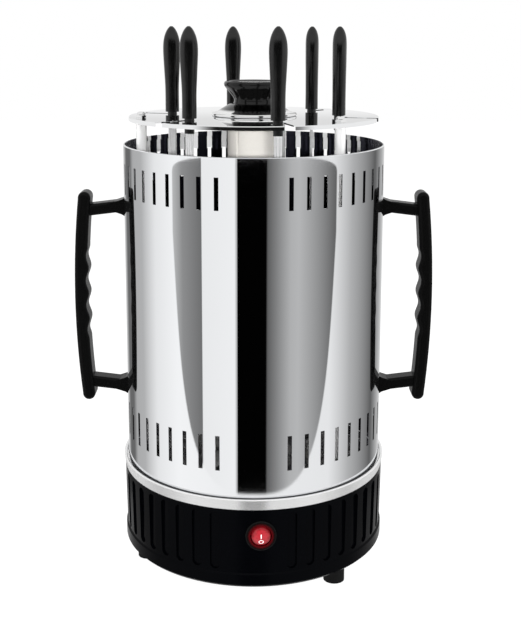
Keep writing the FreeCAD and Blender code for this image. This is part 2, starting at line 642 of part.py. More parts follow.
def tang():
    """Narrow end of the blade inside the handle."""
    z = DISC_TOP_Z + HANDLE_LIFT
    return block(-TANG_WIDTH / 2, TANG_WIDTH / 2, -BLADE_THICK / 2, BLADE_THICK / 2, z, z + TANG_LENGTH)


def oval(width, depth, z):
    """An ellipse as a wire: a unit circle stretched along X and Y."""
    stretch = FreeCAD.Matrix()
    stretch.scale(width / 2, depth / 2, 1.0)
    return Part.Wire(Part.Circle(V(0, 0, z), UP, 1.0).toShape()).transformGeometry(stretch)


def smooth(t):
    """Eases from 0 to 1 as t does."""
    t = min(max(t, 0.0), 1.0)
    return t * t * (3.0 - 2.0 * t)


def handle_section(rise):
    """Width and depth of the skewer handle at a height above its lower end."""
    bulge = HANDLE_LENGTH - HANDLE_BULGE_DROP
    swell = smooth((rise / bulge - HANDLE_STRAIGHT) / (1.0 - HANDLE_STRAIGHT))
    width = HANDLE_LOW_WIDTH + (HANDLE_BULGE_WIDTH - HANDLE_LOW_WIDTH) * swell
    depth = HANDLE_LOW_DEPTH + (HANDLE_BULGE_DEPTH - HANDLE_LOW_DEPTH) * swell
    nose = max(0.0, (rise - bulge) / HANDLE_BULGE_DROP)
    return width * (1.0 - nose ** 2.0) ** 0.6, depth * (1.0 - nose ** 3.0) ** 0.6


def skewer_handle(direction_deg, turn_deg):
    """Flattened handle: straight below, a bulge near the top, then an ogive."""
    z = DISC_TOP_Z + HANDLE_LIFT
    bulge = HANDLE_LENGTH - HANDLE_BULGE_DROP
    rises = [bulge * k / 6.0 for k in range(7)]
    rises += [bulge + HANDLE_BULGE_DROP * t for t in (0.35, 0.62, 0.82, 0.94, HANDLE_NOSE_END)]
    sections = [oval(*handle_section(rise), z + rise) for rise in rises]
    body = Part.makeLoft(sections, True, False)
    return placed_skewer(body.cut(tang()), direction_deg, turn_deg)


# ---- casing and grips --------------------------------------------------------------------------------------------------------------------------------------
def slot_angles():
    count = int(round(360.0 / SLOT_PITCH_DEG))
    angles = [k * SLOT_PITCH_DEG for k in range(-(count // 2), (count + 1) // 2)]
    return [a for a in angles if SLOT_BLANK_DEG < abs(a) < 180.0 - SLOT_BLANK_DEG]


def strut_levels():
    """Heights of the two struts at the casing, where their screws are."""
    middle = CASING_Z + GRIP_CENTRE_RISE
    reach = GRIP_LENGTH / 2 - STRUT_INSET + STRUT_RISE
    return (middle - reach, middle + reach)


def casing_shell():
    """Rolled sheet with a hem folded in at the rim and a lapped seam down the back."""
    hem_r, hem_z = CASING_BORE_R - RIM_HEM, CASING_RIM_Z - RIM_HEM_HEIGHT
    body = spun([(CASING_BORE_R, CASING_Z), (CASING_R, CASING_Z), (CASING_R, CASING_RIM_Z),
                 (hem_r, CASING_RIM_Z), (hem_r, hem_z), (CASING_BORE_R, hem_z)])
    lap = ring(CASING_BORE_R + CASING_WALL / 2, CASING_BORE_R - CASING_WALL, CASING_Z, CASING_HEIGHT)
    lap = lap.common(block(-SEAM_LAP / 2, SEAM_LAP / 2, 0, CASING_R, CASING_Z, CASING_RIM_Z))
    body = joined([body, lap])
    rows = ((CASING_RIM_Z - UPPER_SLOT_DROP - UPPER_SLOT_LENGTH, UPPER_SLOT_LENGTH),
            (CASING_Z + LOWER_SLOT_RISE, LOWER_SLOT_LENGTH))
    tools = []
    for z, length in rows:
        slot = block(-SLOT_WIDTH / 2, SLOT_WIDTH / 2, -CASING_R - MARGIN, -CASING_BORE_R + 2 * MARGIN,
                     z, z + length)
        tools += [turned(slot, a) for a in slot_angles()]
    for z in strut_levels():
        hole = radial_rod(HANDLE_SCREW_R + SCREW_FIT, CASING_BORE_R - MARGIN, CASING_WALL + 2 * MARGIN, z)
        tools += [turned(hole, a) for a in (-90.0, 90.0)]
    return body.cut(tools)


def grip_inner_r(rise):
    """Inside face of the grip at a height above its middle: a bow with three finger crests."""
    bow = (GRIP_MID_IN_R - GRIP_END_IN_R) * (2 * rise / GRIP_LENGTH) ** 2
    from_crest = rise - WAVE_RISE
    wave = 0.0
    if abs(from_crest) < 1.75 * WAVE_PITCH:
        wave = WAVE_DEPTH * math.cos(2 * math.pi * from_crest / WAVE_PITCH)
    return GRIP_MID_IN_R - bow - wave


def grip_bar(middle_z):
    """The bar the hand holds, as a rounded extrusion of its side outline, on the +X side."""
    y = -GRIP_WIDTH / 2
    end_round = (GRIP_END_OUT_R - GRIP_END_IN_R) / 2
    reach = GRIP_LENGTH / 2 - end_round
    steps = int(round(2 * reach / (WAVE_PITCH / 8)))
    inner = [V(grip_inner_r(-reach + k * 2 * reach / steps), y, middle_z - reach + k * 2 * reach / steps)
             for k in range(steps + 1)]
    face_curve = Part.BSplineCurve()
    face_curve.interpolate(inner)
    low_out, high_out = V(GRIP_END_OUT_R, y, middle_z - reach), V(GRIP_END_OUT_R, y, middle_z + reach)
    mean_r = (GRIP_END_OUT_R + GRIP_END_IN_R) / 2
    half = GRIP_LENGTH / 2
    outline = Part.Wire([
        face_curve.toShape(),
        Part.Arc(inner[-1], V(mean_r, y, middle_z + half), high_out).toShape(),
        Part.Arc(high_out, V(GRIP_MID_OUT_R, y, middle_z), low_out).toShape(),
        Part.Arc(low_out, V(mean_r, y, middle_z - half), inner[0]).toShape()])
    bar = Part.Face(outline).extrude(V(0, GRIP_WIDTH, 0))
    side_edges = [e for e in bar.Edges
                  if abs(e.BoundBox.YMax - e.BoundBox.YMin) < GRIP_ROUND]
    return bar.makeFillet(GRIP_ROUND, side_edges)


def strut(middle_z, side):
    """Arm from the bar to the casing, above (+1) or below (-1) the middle, flared where it lands."""
    bar_z = middle_z + side * (GRIP_LENGTH / 2 - STRUT_INSET)
    wall_z = bar_z + side * STRUT_RISE
    half, y = STRUT_THICK / 2, -STRUT_WIDTH / 2
    bar_r = (GRIP_END_OUT_R + GRIP_END_IN_R) / 2
    wall_r = CASING_BORE_R - MARGIN
    flare_r = CASING_R + STRUT_FLARE_LENGTH
    bend_r = CASING_R + STRUT_FLARE_LENGTH / 3
    outline = [(bar_r, bar_z + half), (flare_r, wall_z + half), (bend_r, wall_z + half + STRUT_FLARE / 2),
               (wall_r, wall_z + half + STRUT_FLARE * 1.4), (wall_r, wall_z - half - STRUT_FLARE * 1.4),
               (bend_r, wall_z - half - STRUT_FLARE / 2), (flare_r, wall_z - half), (bar_r, bar_z - half)]
    arm = polygon_face([V(x, y, z) for x, z in outline]).extrude(V(0, STRUT_WIDTH, 0))
    long_edges = [e for e in arm.Edges if e.BoundBox.XMax - e.BoundBox.XMin > STRUT_FLARE_LENGTH]
    arm = arm.makeFillet(STRUT_ROUND, [e for e in long_edges if e.BoundBox.XMin > CASING_R])
    return arm


def handle(degrees):
    """One grip, made on the +X side and turned to its place."""
    middle_z = CASING_Z + GRIP_CENTRE_RISE
    body = joined([grip_bar(middle_z), strut(middle_z, 1), strut(middle_z, -1)])
    body = body.cut(rod(CASING_R, CASING_Z, CASING_HEIGHT))
    pilots = []
    for z in strut_levels():
        pilot = radial_rod(HANDLE_SCREW_R + SCREW_FIT, CASING_R - MARGIN, HANDLE_SCREW_GRIP + MARGIN, z)
        pilots.append(turned(pilot, 90.0))
    return turned(body.cut(pilots), degrees - 90.0)


def handle_screw(z, degrees):
    head = radial_rod(HANDLE_SCREW_HEAD_R, CASING_BORE_R - HANDLE_SCREW_HEAD, HANDLE_SCREW_HEAD, z)
    shell = rod(CASING_BORE_R, z - 2 * HANDLE_SCREW_HEAD_R, 4 * HANDLE_SCREW_HEAD_R)
    shank = radial_rod(HANDLE_SCREW_R, CASING_BORE_R - HANDLE_SCREW_HEAD / 2,
                       CASING_R - CASING_BORE_R + HANDLE_SCREW_HEAD / 2 + HANDLE_SCREW_GRIP, z)
    return turned(joined([head.common(shell), shank]), degrees)


# ---- top disc, posts and knob ----------------------------------------------------------------------------------------------------------------------------------
def top_disc():
    hem_z = DISC_TOP_Z - DISC_HEM
    edge = DISC_SHEET / 2
    body = spun([(0, DISC_Z), (DISC_R - DISC_SHEET, DISC_Z), (DISC_R - DISC_SHEET, hem_z), (DISC_R, hem_z),
                 (DISC_R, DISC_TOP_Z - edge), (DISC_R - edge, DISC_TOP_Z), (0, DISC_TOP_Z)])
    z, depth = hem_z - MARGIN, DISC_HEM + 2 * MARGIN
    notch = joined([rod(NOTCH_WIDTH / 2, z, depth, V(0, -SKEWER_CIRCLE_R, 0)),
                    block(-NOTCH_WIDTH / 2, NOTCH_WIDTH / 2, -DISC_R - MARGIN, -SKEWER_CIRCLE_R,
                          z, z + depth)])
    tools = [turned(notch, a) for a in SKEWER_ANGLES]
    tools += [rod(POST_STUD_R + SCREW_FIT, z, depth, polar(POST_CIRCLE_R, a)) for a in POST_ANGLES]
    tools.append(rod(KNOB_SCREW_R + SCREW_FIT, z, depth))
    return body.cut(tools)


def support_post(degrees):
    centre = polar(POST_CIRCLE_R, degrees)
    bar = rod(POST_R, CHASSIS_TOP_Z, DISC_Z - CHASSIS_TOP_Z, centre)
    low_stud = rod(POST_STUD_R, CHASSIS_Z - POST_STUD_LENGTH, POST_STUD_LENGTH + CHASSIS_THICK, centre)
    high_stud = rod(POST_STUD_R, DISC_Z, DISC_SHEET + NUT_HEIGHT - NUT_WALL, centre)
    return joined([bar, low_stud, high_stud])


def post_nut(degrees):
    crown = spun([(0, DISC_TOP_Z), (NUT_R, DISC_TOP_Z), (NUT_R, DISC_TOP_Z + NUT_HEIGHT * 0.4),
                  (NUT_R * 0.8, DISC_TOP_Z + NUT_HEIGHT * 0.75), (NUT_R * 0.4, DISC_TOP_Z + NUT_HEIGHT),
                  (0, DISC_TOP_Z + NUT_HEIGHT)])
    crown = crown.cut(rod(POST_STUD_R + SCREW_FIT, DISC_TOP_Z - MARGIN, NUT_HEIGHT - NUT_WALL + MARGIN))
    crown.translate(polar(POST_CIRCLE_R, degrees))
    return crown


def knob_saucer():
    """Domed bright washer between disc and knob, hollow underneath."""
    z, top, sheet = DISC_TOP_Z, SAUCER_TOP_Z, SAUCER_SHEET
    shoulder_z = z + SAUCER_HEIGHT * 0.66
    shoulder_r = KNOB_NECK_R + (SAUCER_R - KNOB_NECK_R) * 0.5
    land_r = KNOB_NECK_R + sheet
    bore = KNOB_SCREW_R + SCREW_FIT
    return spun([(SAUCER_R - sheet, z), (SAUCER_R, z + SAUCER_EDGE), (SAUCER_R - sheet, z + 2 * SAUCER_EDGE),
                 (shoulder_r, shoulder_z), (land_r, top), (bore, top), (bore, top - sheet),
                 (land_r - sheet, top - sheet), (shoulder_r - sheet, shoulder_z - sheet),
                 (SAUCER_R - 2 * sheet, z + SAUCER_EDGE), (SAUCER_R - 2 * sheet, z)])


def knob():
    z, top = SAUCER_TOP_Z, SAUCER_TOP_Z + KNOB_HEIGHT
    rim_z = top - KNOB_HEIGHT * 0.13
    flare_r = KNOB_NECK_R + (KNOB_R - KNOB_NECK_R) * 0.65
    body = spun([(0, z), (KNOB_NECK_R, z), (KNOB_NECK_R * 0.97, z + KNOB_HEIGHT * 0.12),
                 (KNOB_NECK_R * 1.08, z + KNOB_HEIGHT * 0.3), (flare_r, z + KNOB_HEIGHT * 0.6),
                 (KNOB_R, rim_z - KNOB_HEIGHT * 0.06), (KNOB_R * 0.99, rim_z + KNOB_HEIGHT * 0.05),
                 (KNOB_R * 0.92, top), (KNOB_R * 0.84, top - KNOB_HEIGHT * 0.05), (0, top)])
    low, high = V(0, -KNOB_NECK_R * 1.08, z + KNOB_HEIGHT * 0.3), V(0, -flare_r, z + KNOB_HEIGHT * 0.6)
    along = (high - low) * 0.86
    low = low + (high - low) * 0.07
    axis_shift = V(0, -along.z, along.y).normalize() * (KNOB_FLUTE_R - KNOB_FLUTE_DEPTH)
    groove = Part.makeCylinder(KNOB_FLUTE_R, along.Length, low + axis_shift, along)
    tools = [turned(groove, (k + 0.5) * 360.0 / KNOB_FLUTES) for k in range(KNOB_FLUTES)]
    tools.append(rod(KNOB_SCREW_R + SCREW_FIT, z - MARGIN, KNOB_SCREW_GRIP + END_PLAY + MARGIN))
    return body.cut(tools)


def knob_screw():
    head = rod(KNOB_SCREW_HEAD_R, DISC_Z - KNOB_SCREW_HEAD, KNOB_SCREW_HEAD)
    shank = rod(KNOB_SCREW_R, DISC_Z, SAUCER_TOP_Z + KNOB_SCREW_GRIP - DISC_Z)
    return joined([head, shank])


# ---- heater ------------------------------------------------------------------------------------------------------------------------------------------------------------
def heater_levels():
    """Where the socket ends, the cap begins, and the tube and the core run from and to."""
    socket_top = TRAY_TOP_Z + HEATER_SOCKET_HEIGHT
    cap_z = DISC_Z - HEATER_CAP_HEIGHT
    return socket_top, cap_z, socket_top - HEATER_EMBED, cap_z + HEATER_EMBED


def heater_socket():
    socket_top, _, low, _ = heater_levels()
    body = rod(HEATER_SOCKET_R, TRAY_TOP_Z, HEATER_SOCKET_HEIGHT)
    return body.cut([ring(TUBE_R + CERAMIC_FIT, CORE_R + HEATER_WEB, low, HEATER_EMBED + MARGIN),
                     rod(CORE_R + CERAMIC_FIT, low - HEATER_WEB, HEATER_EMBED + HEATER_WEB + MARGIN),
                     rod(PILLAR_R + CERAMIC_FIT, TRAY_TOP_Z - MARGIN, END_PLAY + CERAMIC_FIT + MARGIN),
                     rod(2 * LEAD_R, TRAY_TOP_Z - MARGIN, low - HEATER_WEB - TRAY_TOP_Z + 2 * MARGIN)])


def heater_cap():
    _, cap_z, _, high = heater_levels()
    body = rod(HEATER_CAP_R, cap_z, HEATER_CAP_HEIGHT)
    pocket = KNOB_SCREW_HEAD + MARGIN
    return body.cut([ring(TUBE_R + CERAMIC_FIT, CORE_R + HEATER_WEB, cap_z - MARGIN, HEATER_EMBED + MARGIN),
                     rod(CORE_R + CERAMIC_FIT, cap_z - MARGIN, HEATER_EMBED + HEATER_WEB + MARGIN),
                     rod(KNOB_SCREW_HEAD_R + MARGIN, DISC_Z - pocket, pocket + MARGIN)])


def quartz_tube():
    _, _, low, high = heater_levels()
    return ring(TUBE_R, TUBE_R - TUBE_WALL, low, high - low)


def heater_core():
    _, _, low, high = heater_levels()
    return rod(CORE_R, low - HEATER_WEB, high - low + 2 * HEATER_WEB)


def heater_coil():
    """Close-wound resistance wire on the core, as a sleeve."""
    socket_top, cap_z, _, _ = heater_levels()
    return ring(CORE_R + COIL_WIRE, CORE_R, socket_top + COIL_MARGIN, cap_z - socket_top - 2 * COIL_MARGIN)


# ---- switch, cord entry and wiring -------------------------------------------------------------------------------------------------------------------------------------
def wall_cone():
    """What lies inside the housing's drafted wall."""
    start = BASE_Z + FLANGE_HEIGHT
    return Part.makeCone(base_wall_r(start), base_wall_r(BASE_TOP_Z), BASE_TOP_Z - start, V(0, 0, start))


def switch_body():
    """Round switch: a bezel lying on the housing's wall, a barrel through it and three tabs."""
    wall_r = base_wall_r(SWITCH_Z)
    bezel = radial_rod(SWITCH_BEZEL_R, wall_r - SWITCH_BEZEL, 2 * SWITCH_BEZEL, SWITCH_Z)
    edges = [e for e in bezel.Edges if e.BoundBox.YMax < -wall_r - SWITCH_BEZEL / 2]
    bezel = bezel.makeFillet(SWITCH_BEZEL * 0.45, edges)
    bezel = bezel.cut(wall_cone())
    barrel = radial_rod(SWITCH_BODY_R, wall_r - SWITCH_DEPTH, SWITCH_DEPTH, SWITCH_Z)
    body = joined([bezel, barrel])
    well_r = ROCKER_BALL_R + ROCKER_GAP
    well_start = rocker_pivot_r() - ROCKER_BALL_R - ROCKER_GAP
    body = body.cut(radial_rod(well_r, well_start, SWITCH_DEPTH, SWITCH_Z))
    tab_half = SWITCH_TAB_WIDTH / 2
    back = wall_r - SWITCH_DEPTH
    tabs = [block(-tab_half, tab_half, -back, -back + SWITCH_TAB, SWITCH_Z + rise - SWITCH_TAB_THICK / 2,
                  SWITCH_Z + rise + SWITCH_TAB_THICK / 2)
            for rise in (-SWITCH_BODY_R / 2, 0.0, SWITCH_BODY_R / 2)]
    return turned(joined([body] + tabs), SWITCH_DEG)


def rocker_pivot_r():
    return base_wall_r(SWITCH_Z) + SWITCH_BEZEL - ROCKER_BACK


def rocker():
    """Ball-sided rocker with a crowned face, tilted to its off stop."""
    pivot = V(0, -rocker_pivot_r(), SWITCH_Z)
    ball = Part.makeSphere(ROCKER_BALL_R, pivot)
    slab = radial_rod(2 * ROCKER_BALL_R, rocker_pivot_r() - ROCKER_BACK, ROCKER_BACK + ROCKER_FRONT, SWITCH_Z)
    crown = Part.makeSphere(ROCKER_CROWN_R, pivot - FRONT * (ROCKER_CROWN_R - ROCKER_FRONT))
    body = ball.common(slab).common(crown)
    body.rotate(pivot, SIDE, ROCKER_TILT_DEG)
    return turned(body, SWITCH_DEG)


def cord_gland():
    """Bush in the rear wall for the mains lead: a flange outside, a barrel through, a flange inside."""
    wall_r = base_wall_r(GLAND_Z)
    outer = radial_rod(GLAND_FLANGE_R, wall_r - GLAND_FLANGE, 2 * GLAND_FLANGE, GLAND_Z)
    outer = outer.cut(wall_cone())
    barrel = radial_rod(GLAND_R, BASE_INNER_R - GLAND_INNER, wall_r + GLAND_FLANGE / 2
                        - BASE_INNER_R + GLAND_INNER, GLAND_Z)
    inner = radial_rod(GLAND_FLANGE_R, BASE_INNER_R - GLAND_INNER, GLAND_INNER, GLAND_Z)
    inner = inner.common(rod(BASE_INNER_R, GLAND_Z - 2 * GLAND_FLANGE_R, 4 * GLAND_FLANGE_R))
    body = joined([outer, barrel, inner])
    body = body.cut(radial_rod(GLAND_BORE_R, BASE_INNER_R - GLAND_INNER - MARGIN, 4 * GLAND_FLANGE_R, GLAND_Z))
    return turned(body, 180.0)


def terminal_block():
    half_l, half_w = TERMINAL_LENGTH / 2, TERMINAL_WIDTH / 2
    top = CHASSIS_TOP_Z + TERMINAL_HEIGHT
    body = block(-half_l, half_l, -TERMINAL_R - half_w, -TERMINAL_R + half_w, CHASSIS_TOP_Z, top)
    pitch = TERMINAL_LENGTH / TERMINAL_WAYS
    wells = [rod(TERMINAL_SCREW_R, top - TERMINAL_SCREW_DEPTH, TERMINAL_SCREW_DEPTH + MARGIN,
                 V((way - (TERMINAL_WAYS - 1) / 2) * pitch, -TERMINAL_R, 0)) for way in range(TERMINAL_WAYS)]
    return turned(body.cut(wells), TERMINAL_DEG)


def lead_circle_r():
    return base_wall_r(SWITCH_Z) - SWITCH_DEPTH - SWITCH_TAB - LEAD_GAP


def ring_lead(from_deg, to_deg):
    """A lead that follows the inside of the housing at one height."""
    section = Part.Face(Part.Wire(Part.Circle(V(0, -lead_circle_r(), LEAD_Z), SIDE, LEAD_R).toShape()))
    return turned(section.revolve(V(0, 0, 0), UP, to_deg - from_deg), from_deg)


def lead_wires():
    """Leads from the terminal block to the switch, to the motor and up the pillar to the heater."""
    circle_r = lead_circle_r()
    block_half_deg = math.degrees(math.asin(TERMINAL_LENGTH / 2 / circle_r))
    to_switch = ring_lead(TERMINAL_DEG + block_half_deg, SWITCH_DEG - 2.0)
    to_motor = ring_lead(MOTOR_DEG + 1.0 + math.degrees(MOTOR_R / circle_r) / 2 - 360.0,
                         TERMINAL_DEG - block_half_deg)
    level = radial_rod(LEAD_R, 0.0, TERMINAL_R - TERMINAL_WIDTH / 2, LEAD_Z)
    _, _, low, _ = heater_levels()
    riser = rod(LEAD_R, LEAD_Z - LEAD_R, low - HEATER_WEB - LEAD_Z + LEAD_R)
    to_heater = turned(joined([level, riser]), TERMINAL_DEG)
    return to_switch, to_motor, to_heater


# ---- assembly ---------------------------------------------------------------------------------------------------------------------------------------------------------------
def main():
    os.makedirs("parts", exist_ok=True)
    save("base_housing", base_housing())
    save("bottom_cover", bottom_cover())
    save("rubber_feet", *[rubber_foot(a) for a in POST_ANGLES])
    save("cover_screws", *[cover_screw(a) for a in POST_ANGLES])
    save("chassis_plate", chassis_plate())
    save("centre_pillar", centre_pillar())
    save("gear_retainer", gear_retainer())
    save("motor_body", motor_body())
    save("motor_screws", *[motor_screw(c) for c in motor_screw_centres()])
    save("motor_pinion", motor_pinion())
    save("sun_gear", sun_gear())
    save("drip_tray", drip_tray())
    save("spindle_bushes", *[spindle_bush(a) for a in SKEWER_ANGLES])
    save("support_posts", *[support_post(a) for a in POST_ANGLES])
    save("post_nuts", *[post_nut(a) for a in POST_ANGLES])
    save("top_disc", top_disc())
    save("knob_saucer", knob_saucer())
    save("knob", knob())
    save("knob_screw", knob_screw())
    save("heater_socket", heater_socket())
    save("heater_cap", heater_cap())
    save("quartz_tube", quartz_tube())
    save("heater_core", heater_core())
    save("heater_coil", heater_coil())
    save("switch_body", switch_body())
    save("rocker", rocker())
    save("cord_gland", cord_gland())
    save("terminal_block", terminal_block())
    save("lead_wires", *lead_wires())
    save("casing_shell", casing_shell())
    save("right_handle", handle(90.0))
    save("left_handle", handle(-90.0))
    save("handle_screws", *[handle_screw(z, a) for a in (-90.0, 90.0) for z in strut_levels()])
    # Broad faces stand across the view from the front, apart from the two at the right and rear.
    across, along = 0.0, 90.0
    wanted = [across, along, along, across, across, across]
    for k, angle in enumerate(SKEWER_ANGLES):
        turn = skewer_turn_deg(angle, wanted[k % len(wanted)])
        save("spindle_%d" % (k + 1), spindle(angle))
        save("drip_cup_%d" % (k + 1), drip_cup(angle, turn))
        save("skewer_blade_%d" % (k + 1), skewer_blade(angle, turn))
        save("skewer_handle_%d" % (k + 1), skewer_handle(angle, turn))


main()
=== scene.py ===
import math

import bmesh
import bpy
from mathutils import Matrix, Vector


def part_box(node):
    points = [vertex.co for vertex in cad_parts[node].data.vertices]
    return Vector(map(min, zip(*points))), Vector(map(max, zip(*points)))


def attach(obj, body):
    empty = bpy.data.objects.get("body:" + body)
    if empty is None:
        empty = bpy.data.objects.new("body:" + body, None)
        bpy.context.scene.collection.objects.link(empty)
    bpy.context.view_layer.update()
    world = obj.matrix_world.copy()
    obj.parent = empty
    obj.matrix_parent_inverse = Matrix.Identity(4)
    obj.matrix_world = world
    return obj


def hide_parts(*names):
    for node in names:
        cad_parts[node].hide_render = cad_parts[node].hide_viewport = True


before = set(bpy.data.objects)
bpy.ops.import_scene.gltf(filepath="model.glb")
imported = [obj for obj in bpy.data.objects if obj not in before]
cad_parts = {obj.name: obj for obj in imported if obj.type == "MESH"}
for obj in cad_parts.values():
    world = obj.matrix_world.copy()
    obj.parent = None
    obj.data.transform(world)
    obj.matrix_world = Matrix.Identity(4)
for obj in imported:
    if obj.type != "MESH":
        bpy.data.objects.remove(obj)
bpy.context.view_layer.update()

# ---- sizes shared with the CAD source, in metres and degrees -------------------------------------------
# An angle runs from the front (-Y) towards +X.
MM = 0.001
POST_DEGREES = [45.0, 165.0, -75.0]
POST_CIRCLE_R = 87.0 * MM
DISC_TOP_Z = 349.7 * MM
KNOB_Z = 359.0 * MM
COLLAR_Z = 340.0 * MM
SWITCH_Z = 56.0 * MM
SWITCH_DEG = 3.0
SLOT_PITCH_DEG = 7.5
SLOT_HALF_DEG = math.degrees(1.65 / 100.0)

# ---- details of the visual pieces ------------------------------------------------------------------------
KNOB_FLUTES = 16
CAP_GROOVE_DEG = -37.0
STRIP_BOTTOM_Z = 314.0 * MM
STEEL = (0.925, 0.936, 0.952)
# near-black colour of the casing's inside: painted shade, not the sheet's own colour
PAINTED_SHADE_DARK = (0.05, 0.05, 0.07)


# ---- small helpers ---------------------------------------------------------------------------------------
def linear(level):
    """Linear value of a display level from 0 to 255."""
    c = level / 255.0
    return c / 12.92 if c <= 0.04045 else ((c + 0.055) / 1.055) ** 2.4


def grey(value):
    return (value, value, value)


def around(radius, degrees, z=0.0):
    """Point at an angle from the front (-Y) towards +X."""
    a = math.radians(degrees)
    return Vector((radius * math.sin(a), -radius * math.cos(a), z))


def add(tree, kind, **settings):
    """A new shader node with its settings."""
    made = tree.nodes.new(kind)
    for key, value in settings.items():
        setattr(made, key, value)
    return made


def feed(tree, socket, value):
    """Links an output to the socket, or sets a constant on it."""
    if isinstance(value, bpy.types.NodeSocket):
        tree.links.new(value, socket)
    else:
        socket.default_value = value


def calc(tree, operation, *values):
    """Result of a Math node."""
    made = add(tree, "ShaderNodeMath", operation=operation)
    for socket, value in zip(made.inputs, values):
        feed(tree, socket, value)
    return made.outputs[0]


def product(tree, first, *others):
    """Product of two or more numbers."""
    for other in others:
        first = calc(tree, "MULTIPLY", first, other)
    return first


def length(tree, a, b):
    """Length of the plane vector (a, b)."""
    return calc(tree, "SQRT", calc(tree, "ADD", calc(tree, "MULTIPLY", a, a), calc(tree, "MULTIPLY", b, b)))


def gap(tree, a, b):
    """Distance between two numbers."""
    return calc(tree, "ABSOLUTE", calc(tree, "SUBTRACT", a, b))


def excess(tree, a, b):
    """How far a is above b, or 0 where it is below."""
    return calc(tree, "MAXIMUM", calc(tree, "SUBTRACT", a, b), 0.0)


def bearing(tree, x, y):
    """Angle in degrees from the front (-Y) towards +X."""
    radians = calc(tree, "ARCTAN2", x, calc(tree, "MULTIPLY", y, -1.0))
    return calc(tree, "MULTIPLY", radians, 180.0 / math.pi)


def step(tree, value, low, high, out_low=0.0, out_high=1.0):
    """Smooth change from out_low to out_high while value goes from low to high."""
    made = add(tree, "ShaderNodeMapRange", interpolation_type="SMOOTHSTEP")
    for name, setting in (("Value", value), ("From Min", low), ("From Max", high),
                          ("To Min", out_low), ("To Max", out_high)):
        feed(tree, made.inputs[name], setting)
    return made.outputs[0]


def fade(tree, value, low, high):
    """1 below low, 0 above high and smooth between."""
    return step(tree, value, low, high, 1.0, 0.0)


def blend(tree, factor, a, b):
    """Number mixed from a to b by factor."""
    made = add(tree, "ShaderNodeMix", data_type="FLOAT")
    feed(tree, made.inputs[0], factor)
    feed(tree, made.inputs[2], a)
    feed(tree, made.inputs[3], b)
    return made.outputs[0]


def blend_colour(tree, factor, a, b):
    """Colour mixed from a to b by factor. Each is an output or three numbers."""
    made = add(tree, "ShaderNodeMix", data_type="RGBA")
    feed(tree, made.inputs[0], factor)
    for socket, colour in ((made.inputs[6], a), (made.inputs[7], b)):
        feed(tree, socket, (*colour, 1.0) if isinstance(colour, tuple) else colour)
    return made.outputs[2]


def grey_ramp(tree, value, low, high, stops):
    """Number read off stops of (position, display level) between low and high."""
    made = add(tree, "ShaderNodeValToRGB")
    span = high - low
    elements = made.color_ramp.elements
    while len(elements) > 1:
        elements.remove(elements[-1])
    for k, (at, level) in enumerate(stops):
        place = (at - low) / span
        element = elements[0] if k == 0 else elements.new(place)
        element.position = place
        element.color = (*grey(linear(level)), 1.0)
    share = calc(tree, "DIVIDE", calc(tree, "SUBTRACT", value, low), span)
    feed(tree, made.inputs[0], share)
    return made.outputs[0]


def clear_rays(tree):
    """1 for rays from the camera or through glass, which see the plain background."""
    rays = add(tree, "ShaderNodeLightPath")
    return calc(tree, "MAXIMUM", rays.outputs["Is Camera Ray"], rays.outputs["Is Transmission Ray"])


# ---- studio: what the polished parts mirror --------------------------------------------------------------
# A dark room in front, with a white window on its left, stands in a pale tent. The stops are (degrees,
# display level). Those of the room and the tent go by bearing. Their levels come from brightness readings
# across the casing in the photo, which were thinned out, rounded and partly changed since.
ROOM_LEVELS = [
    (-77, 200), (-64, 145), (-45.6, 115), (-45, 240), (-16, 245), (-15, 190), (-14.2, 190), (-13.8, 2),
    (10.6, 2), (12, 95), (19, 130), (32, 180), (39, 186), (76, 95)]
TENT_LEVELS = [
    (-178, 170), (-165, 225), (-150, 105), (-138, 105), (-130, 175), (-115, 180), (-95, 235), (-70, 250),
    (70, 235), (94, 180), (131, 95), (155, 190), (168, 225), (178, 170)]
# The room's outline, in degrees: its middle and half its width, the height from which it narrows downwards
# and by how much for each degree, and the heights from which bottom and top close and over how much. The two
# powers round its corners, and the edge is where the outline's sum changes from inside to outside.
ROOM_MIDDLE = 0.8
ROOM_HALF_WIDTH = 75.2
ROOM_TAPER_FROM, ROOM_TAPER = -10.8, 0.85
ROOM_BOTTOM_FROM, ROOM_BOTTOM_DEPTH = -9.3, 15.3
ROOM_TOP_FROM, ROOM_TOP_DEPTH = -7.8, 1.0
ROOM_SIDE_POWER, ROOM_END_POWER = 3.0, 4.4
ROOM_EDGE = (0.95, 1.01)
# Levels just under the room by bearing to either side, for the base, the tray and high views.
UNDER_LEVELS = [
    (0, 60), (9, 70), (16, 190), (60, 210), (95, 170), (120, 200), (150, 210), (180, 170)]
# Levels over the room by height: pale sky with a thin horizon line.
SKY_LEVELS = [
    (-5, 240), (4.25, 246), (4.45, 240), (4.56, 200), (4.67, 225), (5.65, 218), (12, 235), (40, 245)]
SKY_FROM = (-6.2, -5.9)
# Linear levels: of the overhead lamp, of all round for rays that aren't mirrored, and of the floor
LAMP_LEVEL = 0.84
DIFFUSE_LEVEL = 0.55
PAPER = 0.82
PAPER_GLOW = 1.26
PAPER_GLOW_SHARE = 0.72


def room_mask(tree, turn, rise):
    """1 inside the room's outline, 0 outside."""
    taper = calc(tree, "MULTIPLY", excess(tree, ROOM_TAPER_FROM, rise), ROOM_TAPER)
    width = calc(tree, "SUBTRACT", ROOM_HALF_WIDTH, taper)
    across = calc(tree, "POWER", calc(tree, "DIVIDE", gap(tree, turn, ROOM_MIDDLE), width), ROOM_SIDE_POWER)
    below = calc(tree, "DIVIDE", excess(tree, ROOM_BOTTOM_FROM, rise), ROOM_BOTTOM_DEPTH)
    over = calc(tree, "DIVIDE", excess(tree, rise, ROOM_TOP_FROM), ROOM_TOP_DEPTH)
    height = calc(tree, "POWER", calc(tree, "ADD", below, over), ROOM_END_POWER)
    return fade(tree, calc(tree, "ADD", across, height), *ROOM_EDGE)


